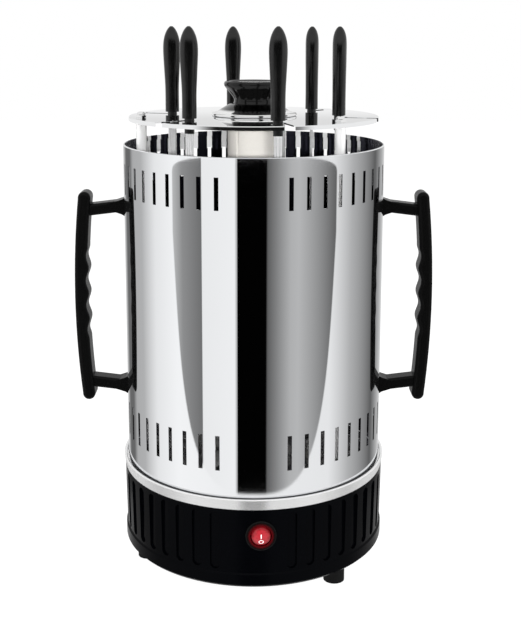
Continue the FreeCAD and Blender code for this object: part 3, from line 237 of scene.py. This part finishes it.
def studio_world():
    """The studio that mirrors show, as a function of direction, and a white background for the camera."""
    world = bpy.data.worlds.new("studio")
    bpy.context.scene.world = world
    world.use_nodes = True
    tree = world.node_tree
    tree.nodes.clear()
    parts = add(tree, "ShaderNodeSeparateXYZ")
    tree.links.new(add(tree, "ShaderNodeTexCoord").outputs["Generated"], parts.inputs[0])
    x, y, z = parts.outputs
    turn = bearing(tree, x, y)
    side = calc(tree, "ABSOLUTE", turn)
    rise = calc(tree, "MULTIPLY", calc(tree, "ARCSINE", z), 180.0 / math.pi)
    room = grey_ramp(tree, turn, -80.0, 80.0, ROOM_LEVELS)
    tent = grey_ramp(tree, turn, -180.0, 180.0, TENT_LEVELS)
    level = blend(tree, room_mask(tree, turn, rise), tent, room)
    # just under the room, fading out where only high views look
    under = calc(tree, "MULTIPLY", fade(tree, rise, -25.1, -24.8), step(tree, rise, -55.0, -40.0))
    level = blend(tree, under, level, grey_ramp(tree, side, 0.0, 180.0, UNDER_LEVELS))
    # over it: the sky, with a dark card low in front and a lamp overhead
    sky = grey_ramp(tree, rise, -10.0, 80.0, SKY_LEVELS)
    card = calc(tree, "MAXIMUM", step(tree, side, 33.0, 58.0, 0.012, 1.0), step(tree, rise, 5.0, 13.0))
    level = blend(tree, step(tree, rise, *SKY_FROM), level, calc(tree, "MULTIPLY", sky, card))
    lamp = calc(tree, "MULTIPLY", step(tree, rise, 33.0, 37.0), fade(tree, rise, 72.0, 78.0))
    level = blend(tree, lamp, level, LAMP_LEVEL)
    # only reflections see all this
    mirrored = add(tree, "ShaderNodeLightPath").outputs["Is Glossy Ray"]
    level = blend(tree, mirrored, DIFFUSE_LEVEL, level)
    level = blend(tree, clear_rays(tree), level, 1.0)
    light = add(tree, "ShaderNodeBackground")
    tree.links.new(level, light.inputs["Color"])
    tree.links.new(light.outputs[0], add(tree, "ShaderNodeOutputWorld").inputs["Surface"])


def studio_floor():
    """White paper that takes a soft shadow and isn't mirrored."""
    bpy.ops.mesh.primitive_plane_add(size=8.0, location=(0.0, 0.0, 0.0))
    floor = bpy.context.object
    floor.name = "studio_floor"
    floor.visible_glossy = False
    mat = bpy.data.materials.new("studio_floor")
    mat.use_nodes = True
    tree = mat.node_tree
    tree.nodes.clear()
    paper = add(tree, "ShaderNodeBsdfDiffuse")
    paper.inputs["Color"].default_value = (*grey(PAPER), 1.0)
    glow = add(tree, "ShaderNodeEmission")
    glow.inputs["Strength"].default_value = PAPER_GLOW
    mixed = add(tree, "ShaderNodeMixShader")
    tree.links.new(calc(tree, "MULTIPLY", clear_rays(tree), PAPER_GLOW_SHARE), mixed.inputs[0])
    tree.links.new(paper.outputs[0], mixed.inputs[1])
    tree.links.new(glow.outputs[0], mixed.inputs[2])
    tree.links.new(mixed.outputs[0], add(tree, "ShaderNodeOutputMaterial").inputs["Surface"])
    floor.data.materials.append(mat)


def studio_lamp(name, place, power, width, height):
    """Soft lamp that points at the middle of the object and isn't mirrored."""
    lamp = bpy.data.lights.new(name, "AREA")
    lamp.shape = "RECTANGLE"
    lamp.size = width
    lamp.size_y = height
    lamp.energy = power
    made = bpy.data.objects.new(name, lamp)
    bpy.context.collection.objects.link(made)
    made.location = place
    made.rotation_euler = (Vector((0.0, 0.0, 0.2)) - Vector(place)).to_track_quat("-Z", "Y").to_euler()
    made.visible_glossy = False


def studio_camera():
    """The photograph's viewpoint, tilted down 9.88 degrees."""
    data = bpy.data.cameras.new("camera")
    data.sensor_width = 36.0
    data.lens = 61.24
    data.shift_y = -0.16
    data.clip_start = 0.02
    data.clip_end = 50.0
    made = bpy.data.objects.new("camera", data)
    bpy.context.collection.objects.link(made)
    made.location = (0.0, -0.8228, 0.416)
    pitch = Matrix.Rotation(math.radians(90.0 - 9.88), 4, "X")
    turn = Matrix.Rotation(math.radians(-0.364), 4, "Z")
    roll = Matrix.Rotation(math.radians(0.12), 4, "Z")
    made.rotation_euler = (turn @ pitch @ roll).to_euler()
    bpy.context.scene.camera = made


# ---- materials -------------------------------------------------------------------------------------------
def shader(name, colour, metal=0.0, rough=0.5, **sockets):
    """A material with its main shader. Extra sockets are set by name, with _ for a space."""
    mat = bpy.data.materials.new(name)
    mat.use_nodes = True
    tree = mat.node_tree
    bsdf = tree.nodes["Principled BSDF"]
    bsdf.inputs["Base Color"].default_value = (*colour, 1.0)
    bsdf.inputs["Metallic"].default_value = metal
    bsdf.inputs["Roughness"].default_value = rough
    for key, value in sockets.items():
        bsdf.inputs[key.replace("_", " ")].default_value = value
    return mat, tree, bsdf


def axes(tree):
    """The three coordinates of the row frame, in metres."""
    parts = add(tree, "ShaderNodeSeparateXYZ")
    tree.links.new(add(tree, "ShaderNodeTexCoord").outputs["Object"], parts.inputs[0])
    return parts.outputs


def noise(tree, scale, stretch=(1.0, 1.0, 1.0), detail=2.0, roughness=0.5):
    """Noise in the row frame, as a number from 0 to 1. The scale is in cells per metre."""
    place = add(tree, "ShaderNodeMapping")
    place.inputs["Scale"].default_value = stretch
    tree.links.new(add(tree, "ShaderNodeTexCoord").outputs["Object"], place.inputs["Vector"])
    made = add(tree, "ShaderNodeTexNoise")
    made.inputs["Scale"].default_value = scale
    made.inputs["Detail"].default_value = detail
    made.inputs["Roughness"].default_value = roughness
    tree.links.new(place.outputs[0], made.inputs["Vector"])
    return made.outputs["Fac"]


def bump(tree, bsdf, height, strength, distance=0.0002):
    """Fine relief from a height of 0 to 1."""
    made = add(tree, "ShaderNodeBump")
    made.inputs["Strength"].default_value = strength
    made.inputs["Distance"].default_value = distance
    tree.links.new(height, made.inputs["Height"])
    tree.links.new(made.outputs[0], bsdf.inputs["Normal"])


def tint(tree, bsdf, factor, dark, light):
    """Base colour between two colours by a factor."""
    tree.links.new(blend_colour(tree, factor, dark, light), bsdf.inputs["Base Color"])


def vary_rough(tree, bsdf, factor, low, high):
    """Roughness between two values by a noise."""
    tree.links.new(step(tree, factor, 0.3, 0.7, low, high), bsdf.inputs["Roughness"])


def plain(name, colour, metal, rough, grain, spread, relief, gloss=0.5, stretch=(1.0, 1.0, 1.0)):
    """Material with a fine grain in its colour, roughness and relief."""
    mat, tree, bsdf = shader(name, colour, metal, rough, Specular_IOR_Level=gloss)
    cells = noise(tree, grain, stretch)
    dark = tuple(c * (1.0 - spread) for c in colour)
    light = tuple(min(1.0, c * (1.0 + spread)) for c in colour)
    tint(tree, bsdf, cells, dark, light)
    vary_rough(tree, bsdf, cells, rough * 0.85, min(1.0, rough * 1.15))
    if relief:
        bump(tree, bsdf, cells, relief)
    return mat


def drawn_lines(tree):
    """Faint drawing lines round the sheet, as its noise and as a roughness."""
    lines = noise(tree, 60.0, (1.0, 1.0, 60.0), 3.0)
    return lines, step(tree, lines, 0.45, 0.8, 0.018, 0.04)


def polished_steel():
    """Mirror finish with drawing lines."""
    mat, tree, bsdf = shader("polished_steel", STEEL, 1.0, 0.022)
    lines, rough = drawn_lines(tree)
    tint(tree, bsdf, lines, STEEL, grey(0.95))
    tree.links.new(rough, bsdf.inputs["Roughness"])
    return mat


def casing_steel():
    """Mirror finish with drawing lines, and a lapped seam with weld spots down the back."""
    mat, tree, bsdf = shader("casing_steel", STEEL, 1.0, 0.022)
    x, y, z = axes(tree)
    back = calc(tree, "GREATER_THAN", y, 90.0 * MM)
    seam = calc(tree, "LESS_THAN", gap(tree, x, 5.0 * MM), 0.22 * MM)
    from_spot = calc(tree, "SUBTRACT", calc(tree, "MODULO", z, 20.0 * MM), 10.0 * MM)
    spot = fade(tree, length(tree, x, from_spot), 1.2 * MM, 2.0 * MM)
    rough = calc(tree, "ADD", drawn_lines(tree)[1], product(tree, spot, back, 0.22))
    tree.links.new(rough, bsdf.inputs["Roughness"])
    mark = calc(tree, "MULTIPLY", calc(tree, "MAXIMUM", seam, calc(tree, "MULTIPLY", spot, 0.12)), back)
    tint(tree, bsdf, mark, STEEL, grey(0.12))
    bump(tree, bsdf, calc(tree, "SUBTRACT", 1.0, mark), 0.6, 0.0003)
    return mat


def inner_wall():
    """Inside of the casing: sheet darkened to near black as painted shade, with a painted white strip of
    light over each upper slot of the rear part.
    """
    mat, tree, bsdf = shader("inner_painted_shade_and_strips", PAINTED_SHADE_DARK, 1.0, 0.09)
    x, y, z = axes(tree)
    turn = bearing(tree, x, y)
    # distance from the nearest slot's middle, in degrees; the addend keeps the modulo positive
    half = SLOT_PITCH_DEG / 2.0
    shifted = calc(tree, "MODULO", calc(tree, "ADD", turn, 360.0 + half), SLOT_PITCH_DEG)
    strip = fade(tree, gap(tree, shifted, half), 1.2, 1.45)
    side = calc(tree, "ABSOLUTE", turn)
    high = calc(tree, "GREATER_THAN", z, STRIP_BOTTOM_Z)
    strip = product(tree, strip, high, calc(tree, "GREATER_THAN", side, 116.0),
                    calc(tree, "LESS_THAN", side, 167.0))
    # painted light: white strips over the upper slots of the rear part, on the painted shade
    tint(tree, bsdf, strip, PAINTED_SHADE_DARK, grey(0.9))
    feed(tree, bsdf.inputs["Metallic"], calc(tree, "SUBTRACT", 1.0, strip))
    vary_rough(tree, bsdf, noise(tree, 500.0, (1.0, 1.0, 8.0)), 0.06, 0.12)
    return mat


def switch_face(tree):
    """Place on the switch's face: across, up and distance from its middle."""
    x, y, z = axes(tree)
    turn = math.radians(SWITCH_DEG)
    across = calc(tree, "ADD", calc(tree, "MULTIPLY", x, math.cos(turn)),
                  calc(tree, "MULTIPLY", y, math.sin(turn)))
    rise = calc(tree, "SUBTRACT", z, SWITCH_Z)
    return across, rise, length(tree, across, rise)


def rocker_red():
    """Deep red, clear plastic with a painted glow that is brighter towards its middle, and a white bar and
    ring on its face.
    """
    mat, tree, bsdf = shader("red_plastic", (0.5, 0.02, 0.03), 0.0, 0.14, Specular_IOR_Level=0.45)
    across, rise, away = switch_face(tree)
    cells = noise(tree, 450.0, (1.0, 1.0, 1.0), 3.0, 0.6)
    # painted glow: the red face is brighter towards its middle
    depth = calc(tree, "MULTIPLY", step(tree, away, 3.5 * MM, 7.2 * MM, 1.0, 0.25),
                 step(tree, cells, 0.3, 0.7, 0.6, 1.25))
    base = blend_colour(tree, depth, (0.10, 0.001, 0.002), (0.31, 0.016, 0.024))
    bar = calc(tree, "MULTIPLY", fade(tree, calc(tree, "ABSOLUTE", across), 0.3 * MM, 0.42 * MM),
               fade(tree, gap(tree, rise, 0.6 * MM), 1.6 * MM, 1.75 * MM))
    low = calc(tree, "ADD", rise, 3.9 * MM)
    flattened = calc(tree, "MULTIPLY", calc(tree, "MULTIPLY", low, low), 1.5)
    radius = calc(tree, "SQRT", calc(tree, "ADD", calc(tree, "MULTIPLY", across, across), flattened))
    ring = fade(tree, gap(tree, radius, 1.6 * MM), 0.2 * MM, 0.34 * MM)
    tint(tree, bsdf, calc(tree, "MAXIMUM", bar, ring), base, (0.85, 0.8, 0.8))
    bump(tree, bsdf, cells, 0.05)
    return mat


def bezel_black():
    """Glossy black switch housing, with a painted dark red glow round the rocker."""
    mat, tree, bsdf = shader("bezel_black", grey(0.003), 0.0, 0.2, Specular_IOR_Level=0.12)
    away = switch_face(tree)[2]
    # painted glow: dark red round the rocker
    tint(tree, bsdf, fade(tree, away, 6.8 * MM, 10.2 * MM), grey(0.002), (0.075, 0.0, 0.0015))
    vary_rough(tree, bsdf, noise(tree, 900.0), 0.16, 0.24)
    return mat


def saucer_chrome():
    """Chromed washer, with a painted dark reflection of the knob towards the middle."""
    mat, tree, bsdf = shader("saucer_chrome", grey(0.9), 1.0, 0.05)
    x, y = axes(tree)[:2]
    # painted reflection: dark towards the knob
    tint(tree, bsdf, step(tree, length(tree, x, y), 24.5 * MM, 27.5 * MM), grey(0.06), grey(0.92))
    vary_rough(tree, bsdf, noise(tree, 300.0, (1.0, 1.0, 8.0)), 0.04, 0.1)
    return mat


def blade_steel():
    """Brushed steel blade with a blackened collar under the handle."""
    mat, tree, bsdf = shader("blade_steel", grey(0.85), 0.7, 0.3)
    lines = noise(tree, 700.0, (6.0, 6.0, 0.06))
    metal = blend_colour(tree, lines, (0.80, 0.80, 0.81), grey(0.90))
    collar = calc(tree, "GREATER_THAN", axes(tree)[2], COLLAR_Z)
    tint(tree, bsdf, collar, metal, grey(0.003))
    feed(tree, bsdf.inputs["Metallic"], calc(tree, "MULTIPLY", calc(tree, "SUBTRACT", 1.0, collar), 0.5))
    vary_rough(tree, bsdf, lines, 0.24, 0.36)
    return mat


def quartz():
    """Clear tube, slightly hazed along its length."""
    mat, tree, bsdf = shader("quartz", (0.98, 0.985, 1.0), 0.0, 0.05, IOR=1.46, Transmission_Weight=1.0)
    vary_rough(tree, bsdf, noise(tree, 300.0, (1.0, 1.0, 0.1)), 0.03, 0.1)
    return mat


# colour, metal, roughness, grain in cells per metre, spread of the colour, relief, and where they differ from
# the usual, gloss and the grain's stretch
PLAIN = {
    "black_plastic": ((0.0006, 0.0007, 0.0011), 0.0, 0.16, 900.0, 0.2, 0.03, 0.035),
    "grip_plastic": (grey(0.0016), 0.0, 0.3, 1800.0, 0.3, 0.3, 0.09),
    "handle_black": (grey(0.0014), 0.0, 0.12, 2200.0, 0.4, 0.2, 0.5),
    "gloss_black": (grey(0.003), 0.0, 0.1, 700.0, 0.1, 0.02, 0.3),
    "rubber": (grey(0.004), 0.0, 0.65, 1200.0, 0.2, 0.3, 0.15),
    "gear_plastic": ((0.75, 0.72, 0.62), 0.0, 0.4, 900.0, 0.04, 0.05),
    "terminal_plastic": ((0.8, 0.79, 0.74), 0.0, 0.5, 900.0, 0.05, 0.05),
    "lead_insulation": ((0.6, 0.58, 0.5), 0.0, 0.6, 1500.0, 0.1, 0.2),
    "ceramic": ((0.74, 0.715, 0.67), 0.0, 0.55, 900.0, 0.04, 0.15),
    "satin_steel": (grey(0.9), 0.85, 0.13, 2600.0, 0.05, 0.08),
    "post_steel": (grey(0.9), 0.45, 0.2, 900.0, 0.02, 0.0, 0.5, (1.0, 1.0, 0.1)),
    "chrome": (grey(0.9), 1.0, 0.04, 60.0, 0.01, 0.0),
    "zinc_steel": (grey(0.55), 1.0, 0.35, 250.0, 0.12, 0.05),
    "screw_steel": (grey(0.7), 1.0, 0.22, 900.0, 0.06, 0.05),
    "cup_aluminium": (grey(0.8), 1.0, 0.3, 600.0, 0.05, 0.05, 0.5, (1.0, 1.0, 10.0)),
    "resistance_wire": ((0.35, 0.31, 0.28), 1.0, 0.4, 900.0, 0.1, 0.05),
}
MATERIALS = {name: plain(name, *settings) for name, settings in PLAIN.items()}
MATERIALS.update({
    "casing_steel": casing_steel(), "polished_steel": polished_steel(), "inner_painted_shade_and_strips": inner_wall(),
    "blade_steel": blade_steel(), "saucer_chrome": saucer_chrome(), "quartz": quartz(),
    "red_plastic": rocker_red(), "bezel_black": bezel_black()})

# the starts of the CAD nodes' names, by material
NODES = {
    "black_plastic": ["base_housing", "bottom_cover"],
    "grip_plastic": ["right_handle", "left_handle"],
    "handle_black": ["skewer_handle"],
    "gloss_black": ["knob", "cord_gland"],
    "bezel_black": ["switch_body"],
    "red_plastic": ["rocker"],
    "rubber": ["rubber"],
    "gear_plastic": ["sun_gear", "motor_pinion", "spindle"],
    "terminal_plastic": ["terminal"],
    "lead_insulation": ["lead"],
    "ceramic": ["heater_socket", "heater_cap", "heater_core"],
    "quartz": ["quartz"],
    "polished_steel": ["casing_shell", "top_disc"],
    "satin_steel": ["drip_tray"],
    "post_steel": ["support_post"],
    "blade_steel": ["skewer_blade"],
    "chrome": ["post_nut"],
    "saucer_chrome": ["knob_saucer"],
    "zinc_steel": ["chassis_plate", "centre_pillar", "gear_retainer", "motor_body"],
    "screw_steel": ["cover_screw", "motor_screw", "knob_screw", "handle_screw"],
    "cup_aluminium": ["drip_cup"],
    "resistance_wire": ["heater_coil"],
}


def dress_nodes():
    """Gives every CAD node its material, by the longest start that fits its name."""
    material_of = {start: name for name, starts in NODES.items() for start in starts}
    for name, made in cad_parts.items():
        start = max((s for s in material_of if name.startswith(s)), key=len)
        made.data.materials.clear()
        made.data.materials.append(MATERIALS[material_of[start]])


# ---- meshes ----------------------------------------------------------------------------------------------
def mesh_piece(name, verts, faces, mat, body="root", limit=30.0):
    """A piece from points and faces, smooth except over edges sharper than the limit."""
    data = bpy.data.meshes.new(name)
    data.from_pydata([tuple(v) for v in verts], [], faces)
    data.validate()
    made = bpy.data.objects.new(name, data)
    bpy.context.collection.objects.link(made)
    data.materials.append(mat)
    soften(made, limit)
    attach(made, body)
    return made


def soften(made, limit):
    """Smooth shading with edges over the limit kept sharp."""
    work = bmesh.new()
    work.from_mesh(made.data)
    bmesh.ops.recalc_face_normals(work, faces=work.faces)
    for face in work.faces:
        face.smooth = True
    for edge in work.edges:
        edge.smooth = len(edge.link_faces) == 2 and edge.calc_face_angle(0.0) < math.radians(limit)
    work.to_mesh(made.data)
    work.free()


# ---- casing ----------------------------------------------------------------------------------------------
def casing_piece():
    """Slotted casing: columns of faces that part round the slots, with a rounded rim and a hem inside it."""
    plain_degrees = 14.0
    slots = [k * SLOT_PITCH_DEG for k in range(-24, 24)]
    slots = [a for a in slots if plain_degrees < abs(a) < 180.0 - plain_degrees]
    columns = {round(k * 1.5 + 0.75, 4) for k in range(-120, 120)}
    columns |= {round(a + side * SLOT_HALF_DEG, 4) for a in slots for side in (-1.0, 1.0)}
    columns = sorted(c for c in columns if all(abs(c - a) > SLOT_HALF_DEG - 0.001 for a in slots))
    count = len(columns)
    # (radius, z) in mm; the slots lie between the first two and the last two of the shared heights
    shared = [102.8, 128.7, 160.0, 200.0, 240.0, 291.7, 314.9]
    slot_rows = (2, 7)
    outside = [(99.8, 78.5), (100.0, 78.7)] + [(100.0, z) for z in shared]
    outside += [(100.0, 328.3), (99.85, 328.65), (99.5, 328.8)]
    inside = [(99.4, 78.5), (99.2, 78.7)] + [(99.2, z) for z in shared]
    inside += [(99.2, 324.8), (98.6, 324.8), (98.5, 324.9), (98.5, 328.4), (98.8, 328.8)]
    verts = [around(r * MM, c, z * MM) for rows in (outside, inside) for r, z in rows for c in columns]
    middles = [columns[k] + (columns[(k + 1) % count] - columns[k]) % 360.0 / 2.0 for k in range(count)]
    open_columns = [any(abs(m - a) < SLOT_HALF_DEG for a in slots) for m in middles]
    start = len(outside) * count

    def corner(base, row, column):
        return base + row * count + column % count

    faces, inner = [], []
    for base, rows in ((0, outside), (start, inside)):
        for row in range(len(rows) - 1):
            for column in range(count):
                if row in slot_rows and open_columns[column]:
                    continue
                faces.append([corner(base, row, column), corner(base, row, column + 1),
                              corner(base, row + 1, column + 1), corner(base, row + 1, column)])
                inner.append(base > 0)
    for column in range(count):
        # the bottom edge and the rim, and the four walls of each slot
        for row_out, row_in in ((0, 0), (len(outside) - 1, len(inside) - 1)):
            faces.append([corner(0, row_out, column), corner(0, row_out, column + 1),
                          corner(start, row_in, column + 1), corner(start, row_in, column)])
            inner.append(False)
        if not open_columns[column]:
            continue
        for row in slot_rows:
            for a, b in (((row, column), (row, column + 1)), ((row + 1, column), (row + 1, column + 1)),
                         ((row, column), (row + 1, column)), ((row, column + 1), (row + 1, column + 1))):
                faces.append([corner(0, *a), corner(0, *b), corner(start, *b), corner(start, *a)])
                inner.append(False)
    made = mesh_piece("casing_sheet", verts, faces, MATERIALS["casing_steel"], "casing", 50.0)
    # the inside takes the material with painted shade and painted strips of light
    made.data.materials.append(MATERIALS["inner_painted_shade_and_strips"])
    for face, is_inner in zip(made.data.polygons, inner):
        face.material_index = int(is_inner)
    made.data.normals_split_custom_set(round_normals(made.data))
    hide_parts("casing_shell")


def lap_piece():
    """The overlap of the casing's seam, a strip inside it at the back."""
    lap = [around(r * MM, 180.0 + c, z * MM) for r in (99.25, 98.4) for z in (78.5, 324.8)
           for c in (-2.88, -1.4, 0.0, 1.4, 2.88)]
    sides = []
    for k in range(4):
        sides += [[k, k + 1, k + 6, k + 5], [10 + k, 11 + k, 16 + k, 15 + k], [k, k + 1, k + 11, k + 10],
                  [5 + k, 6 + k, 16 + k, 15 + k]]
    sides += [[0, 5, 15, 10], [4, 9, 19, 14]]
    # the lap takes the inside's painted shade
    made = mesh_piece("casing_lap", lap, sides, MATERIALS["inner_painted_shade_and_strips"], "casing")


def round_normals(data):
    """Exact normals on the casing's two round faces, so that its reflections run smoothly."""
    data.update()
    normals = [Vector(n.vector) for n in data.corner_normals]
    for face in data.polygons:
        middle = Vector(face.center)
        out = Vector((middle.x, middle.y, 0.0)).normalized()
        lean = face.normal.dot(out)
        if abs(lean) < 0.98:
            continue
        for k in face.loop_indices:
            place = data.vertices[data.loops[k].vertex_index].co
            normals[k] = Vector((place.x, place.y, 0.0)).normalized() * (1.0 if lean > 0.0 else -1.0)
    return normals


# ---- small hardware --------------------------------------------------------------------------------------
def cap_nut(name, degrees):
    """Hexagon nut with chamfered corners and a domed cap."""
    low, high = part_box("post_nuts")
    bottom, top = low[2], high[2]
    centre = around(POST_CIRCLE_R, degrees)
    count = 36
    half_width = 3.77
    total = 4.6
    # (radius, height) in mm
    hexagon = [(4.0, 0.0), (4.35, 0.35), (4.35, 1.7), (4.0, 2.05)]
    dome = [(3.35, 2.1), (3.3, 2.9), (3.0, 3.6), (2.35, 4.15), (1.4, 4.5), (0.5, total)]
    verts = []
    for radius, rise in hexagon + dome:
        for k in range(count):
            a = math.radians(k * 360.0 / count)
            r = radius
            if (radius, rise) in hexagon:
                from_flat = (math.degrees(a) + 30.0) % 60.0 - 30.0
                r = min(radius, half_width / math.cos(math.radians(from_flat)))
            z = bottom + (top - bottom) * rise / total
            verts.append(Vector((centre.x + r * MM * math.cos(a), centre.y + r * MM * math.sin(a), z)))
    rows = len(hexagon + dome)
    faces = [[row * count + k, row * count + (k + 1) % count, (row + 1) * count + (k + 1) % count,
              (row + 1) * count + k] for row in range(rows - 1) for k in range(count)]
    faces.append(list(range(count - 1, -1, -1)))
    faces.append([(rows - 1) * count + k for k in range(count)])
    return mesh_piece(name, verts, faces, MATERIALS["chrome"], "root", 25.0)


def nuts():
    """The three cap nuts on the posts."""
    for k, degrees in enumerate(POST_DEGREES):
        made = cap_nut("cap_nut_%d" % (k + 1), degrees)
        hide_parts("post_nuts")


def curve_through(points, parts=4):
    """Smooth run of points through the given ones (Catmull-Rom)."""
    run = []
    last = len(points) - 1
    for k in range(last):
        a, b, c, d = (Vector(points[min(max(n, 0), last)]) for n in (k - 1, k, k + 1, k + 2))
        for j in range(parts):
            t = j / parts
            run.append(0.5 * (2.0 * b + (c - a) * t + (2.0 * a - 5.0 * b + 4.0 * c - d) * t * t
                              + (3.0 * b - a - 3.0 * c + d) * t ** 3))
    run.append(Vector(points[last]))
    return run


def turned_piece(name, outline, mat, count=96, shape=None, limit=32.0):
    """Solid of revolution from an outline of (radius, z) in mm. It starts and ends on the axis, or closes.

    shape(r, z, degrees) gives another radius for a point.
    """
    on_axis = 0.001
    closed = outline[0][0] > on_axis
    verts, rings = [], []
    for r, z in outline:
        if r <= on_axis:
            rings.append([len(verts)] * count)
            verts.append(Vector((0.0, 0.0, z * MM)))
            continue
        rings.append(list(range(len(verts), len(verts) + count)))
        for k in range(count):
            degrees = k * 360.0 / count
            radius = shape(r, z, degrees) if shape else r
            verts.append(around(radius * MM, degrees, z * MM))
    faces = []
    total = len(rings)
    for row in range(total if closed else total - 1):
        low, high = rings[row], rings[(row + 1) % total]
        for k in range(count):
            n = (k + 1) % count
            corners = [low[k], low[n], high[n], high[k]]
            faces.append([c for j, c in enumerate(corners) if c not in corners[:j]])
    return mesh_piece(name, verts, faces, mat, "root", limit)


def knob_piece():
    """Waisted knob with sixteen shallow flutes and a dished top."""
    low = KNOB_Z / MM
    # (radius, height over the knob's foot) in mm
    side = [(15.6, 0.0), (15.25, 1.2), (15.1, 2.6), (15.6, 4.2), (16.9, 6.2), (18.8, 8.6), (20.9, 11.0),
            (22.4, 13.0), (22.9, 14.4), (22.8, 15.5), (22.2, 16.5), (21.2, 17.0), (20.2, 16.7), (19.2, 16.1)]
    side = [tuple(v) for v in curve_through(side)]
    outline = [(0.0, low)] + [(r, low + z) for r, z in side] + [(12.0, low + 16.0), (0.0, low + 16.0)]

    def flutes(r, z, degrees):
        # 0.9 mm deep at most, fading out 3.6 mm and 12 mm over the foot
        share = (z - low - 3.6) / 8.4
        if not 0.0 < share < 1.0 or r < 15.0:
            return r
        groove = max(0.0, math.cos(math.radians(degrees * KNOB_FLUTES))) ** 1.5
        return r - 0.9 * groove * math.sin(math.pi * share) ** 0.7

    made = turned_piece("knob_moulding", outline, MATERIALS["gloss_black"], 192, flutes)
    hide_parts("knob")


def saucer_piece():
    """Spun washer with a rolled edge that rises to the knob's neck."""
    low = DISC_TOP_Z / MM
    # (radius, height over the disc) in mm
    top = [(31.7, 0.02), (32.5, 0.45), (32.7, 1.3), (32.35, 2.2), (31.4, 2.75), (30.2, 2.85), (28.0, 3.5),
           (25.0, 5.2), (22.0, 7.0), (19.4, 8.4), (17.6, 9.1), (16.4, 9.3)]
    outline = [(r, low + z) for r, z in (tuple(v) for v in curve_through(top))]
    outline += [(r, low + z) for r, z in ((2.05, 9.3), (2.05, 8.3), (16.2, 8.3), (19.0, 7.4), (24.4, 4.3),
                                          (27.8, 2.5), (30.7, 1.7), (30.7, 0.02))]
    made = turned_piece("saucer_spinning", outline, MATERIALS["saucer_chrome"], 144)
    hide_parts("knob_saucer")


def cap_piece():
    """Ceramic cap over the quartz tube, with a moulded groove down its side."""
    low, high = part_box("heater_cap")
    bottom, top = low[2] / MM, high[2] / MM
    radius = high[0] / MM
    bore, seat = 6.1, 16.1
    outline = [(radius - 0.5, bottom), (radius, bottom + 0.5), (radius, top - 1.2),
               (radius - 0.35, top - 0.35), (radius - 1.2, top)]
    outline += [(bore, top), (bore, top - 38.0), (seat, top - 41.0), (seat, bottom)]
    depth, half_width = 1.3, 0.75

    def groove(r, z, degrees):
        away = abs((degrees - CAP_GROOVE_DEG + 180.0) % 360.0 - 180.0) * math.radians(radius)
        in_groove = r > radius - 2.0 and away < half_width and z < top - 6.0
        return r - depth if in_groove else r

    made = turned_piece("cap_moulding", outline, MATERIALS["ceramic"], 240, groove)
    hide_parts("heater_cap")


def coil_piece():
    """Close-wound resistance wire on the heater's core."""
    low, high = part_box("heater_coil")
    wire_r, winding_r, pitch = 0.65 * MM, 6.75 * MM, 1.9 * MM
    sides, per_turn = 6, 20
    rise = high[2] - low[2] - 2.0 * wire_r
    total = int(rise / pitch) * per_turn + 1
    verts, faces = [], []
    for k in range(total):
        a = 2.0 * math.pi * k / per_turn
        z = low[2] + wire_r + rise * k / (total - 1)
        for j in range(sides):
            b = 2.0 * math.pi * j / sides
            r = winding_r + wire_r * math.cos(b)
            verts.append(Vector((r * math.sin(a), -r * math.cos(a), z + wire_r * math.sin(b))))
    for k in range(total - 1):
        for j in range(sides):
            n = (j + 1) % sides
            faces.append([k * sides + j, k * sides + n, (k + 1) * sides + n, (k + 1) * sides + j])
    faces.append(list(range(sides - 1, -1, -1)))
    faces.append([(total - 1) * sides + j for j in range(sides)])
    made = mesh_piece("heater_winding", verts, faces, MATERIALS["resistance_wire"], "root", 80.0)
    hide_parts("heater_coil")


# ---- the scene -------------------------------------------------------------------------------------------
studio_world()
studio_floor()
studio_lamp("key", (-0.9, -1.1, 1.3), 9.0, 1.0, 1.0)
studio_lamp("fill", (1.2, -0.9, 0.9), 7.0, 1.0, 1.0)
studio_lamp("top", (0.1, 0.5, 1.6), 8.0, 1.0, 1.0)
# level with the gap between disc and rim, so that it reaches the heater cap and the wall behind it
studio_lamp("front", (0.0, -1.3, 0.457), 17.0, 0.5, 0.05)
studio_camera()
bpy.context.scene.view_settings.view_transform = "Standard"
dress_nodes()
casing_piece()
lap_piece()
nuts()
coil_piece()
knob_piece()
saucer_piece()
cap_piece()
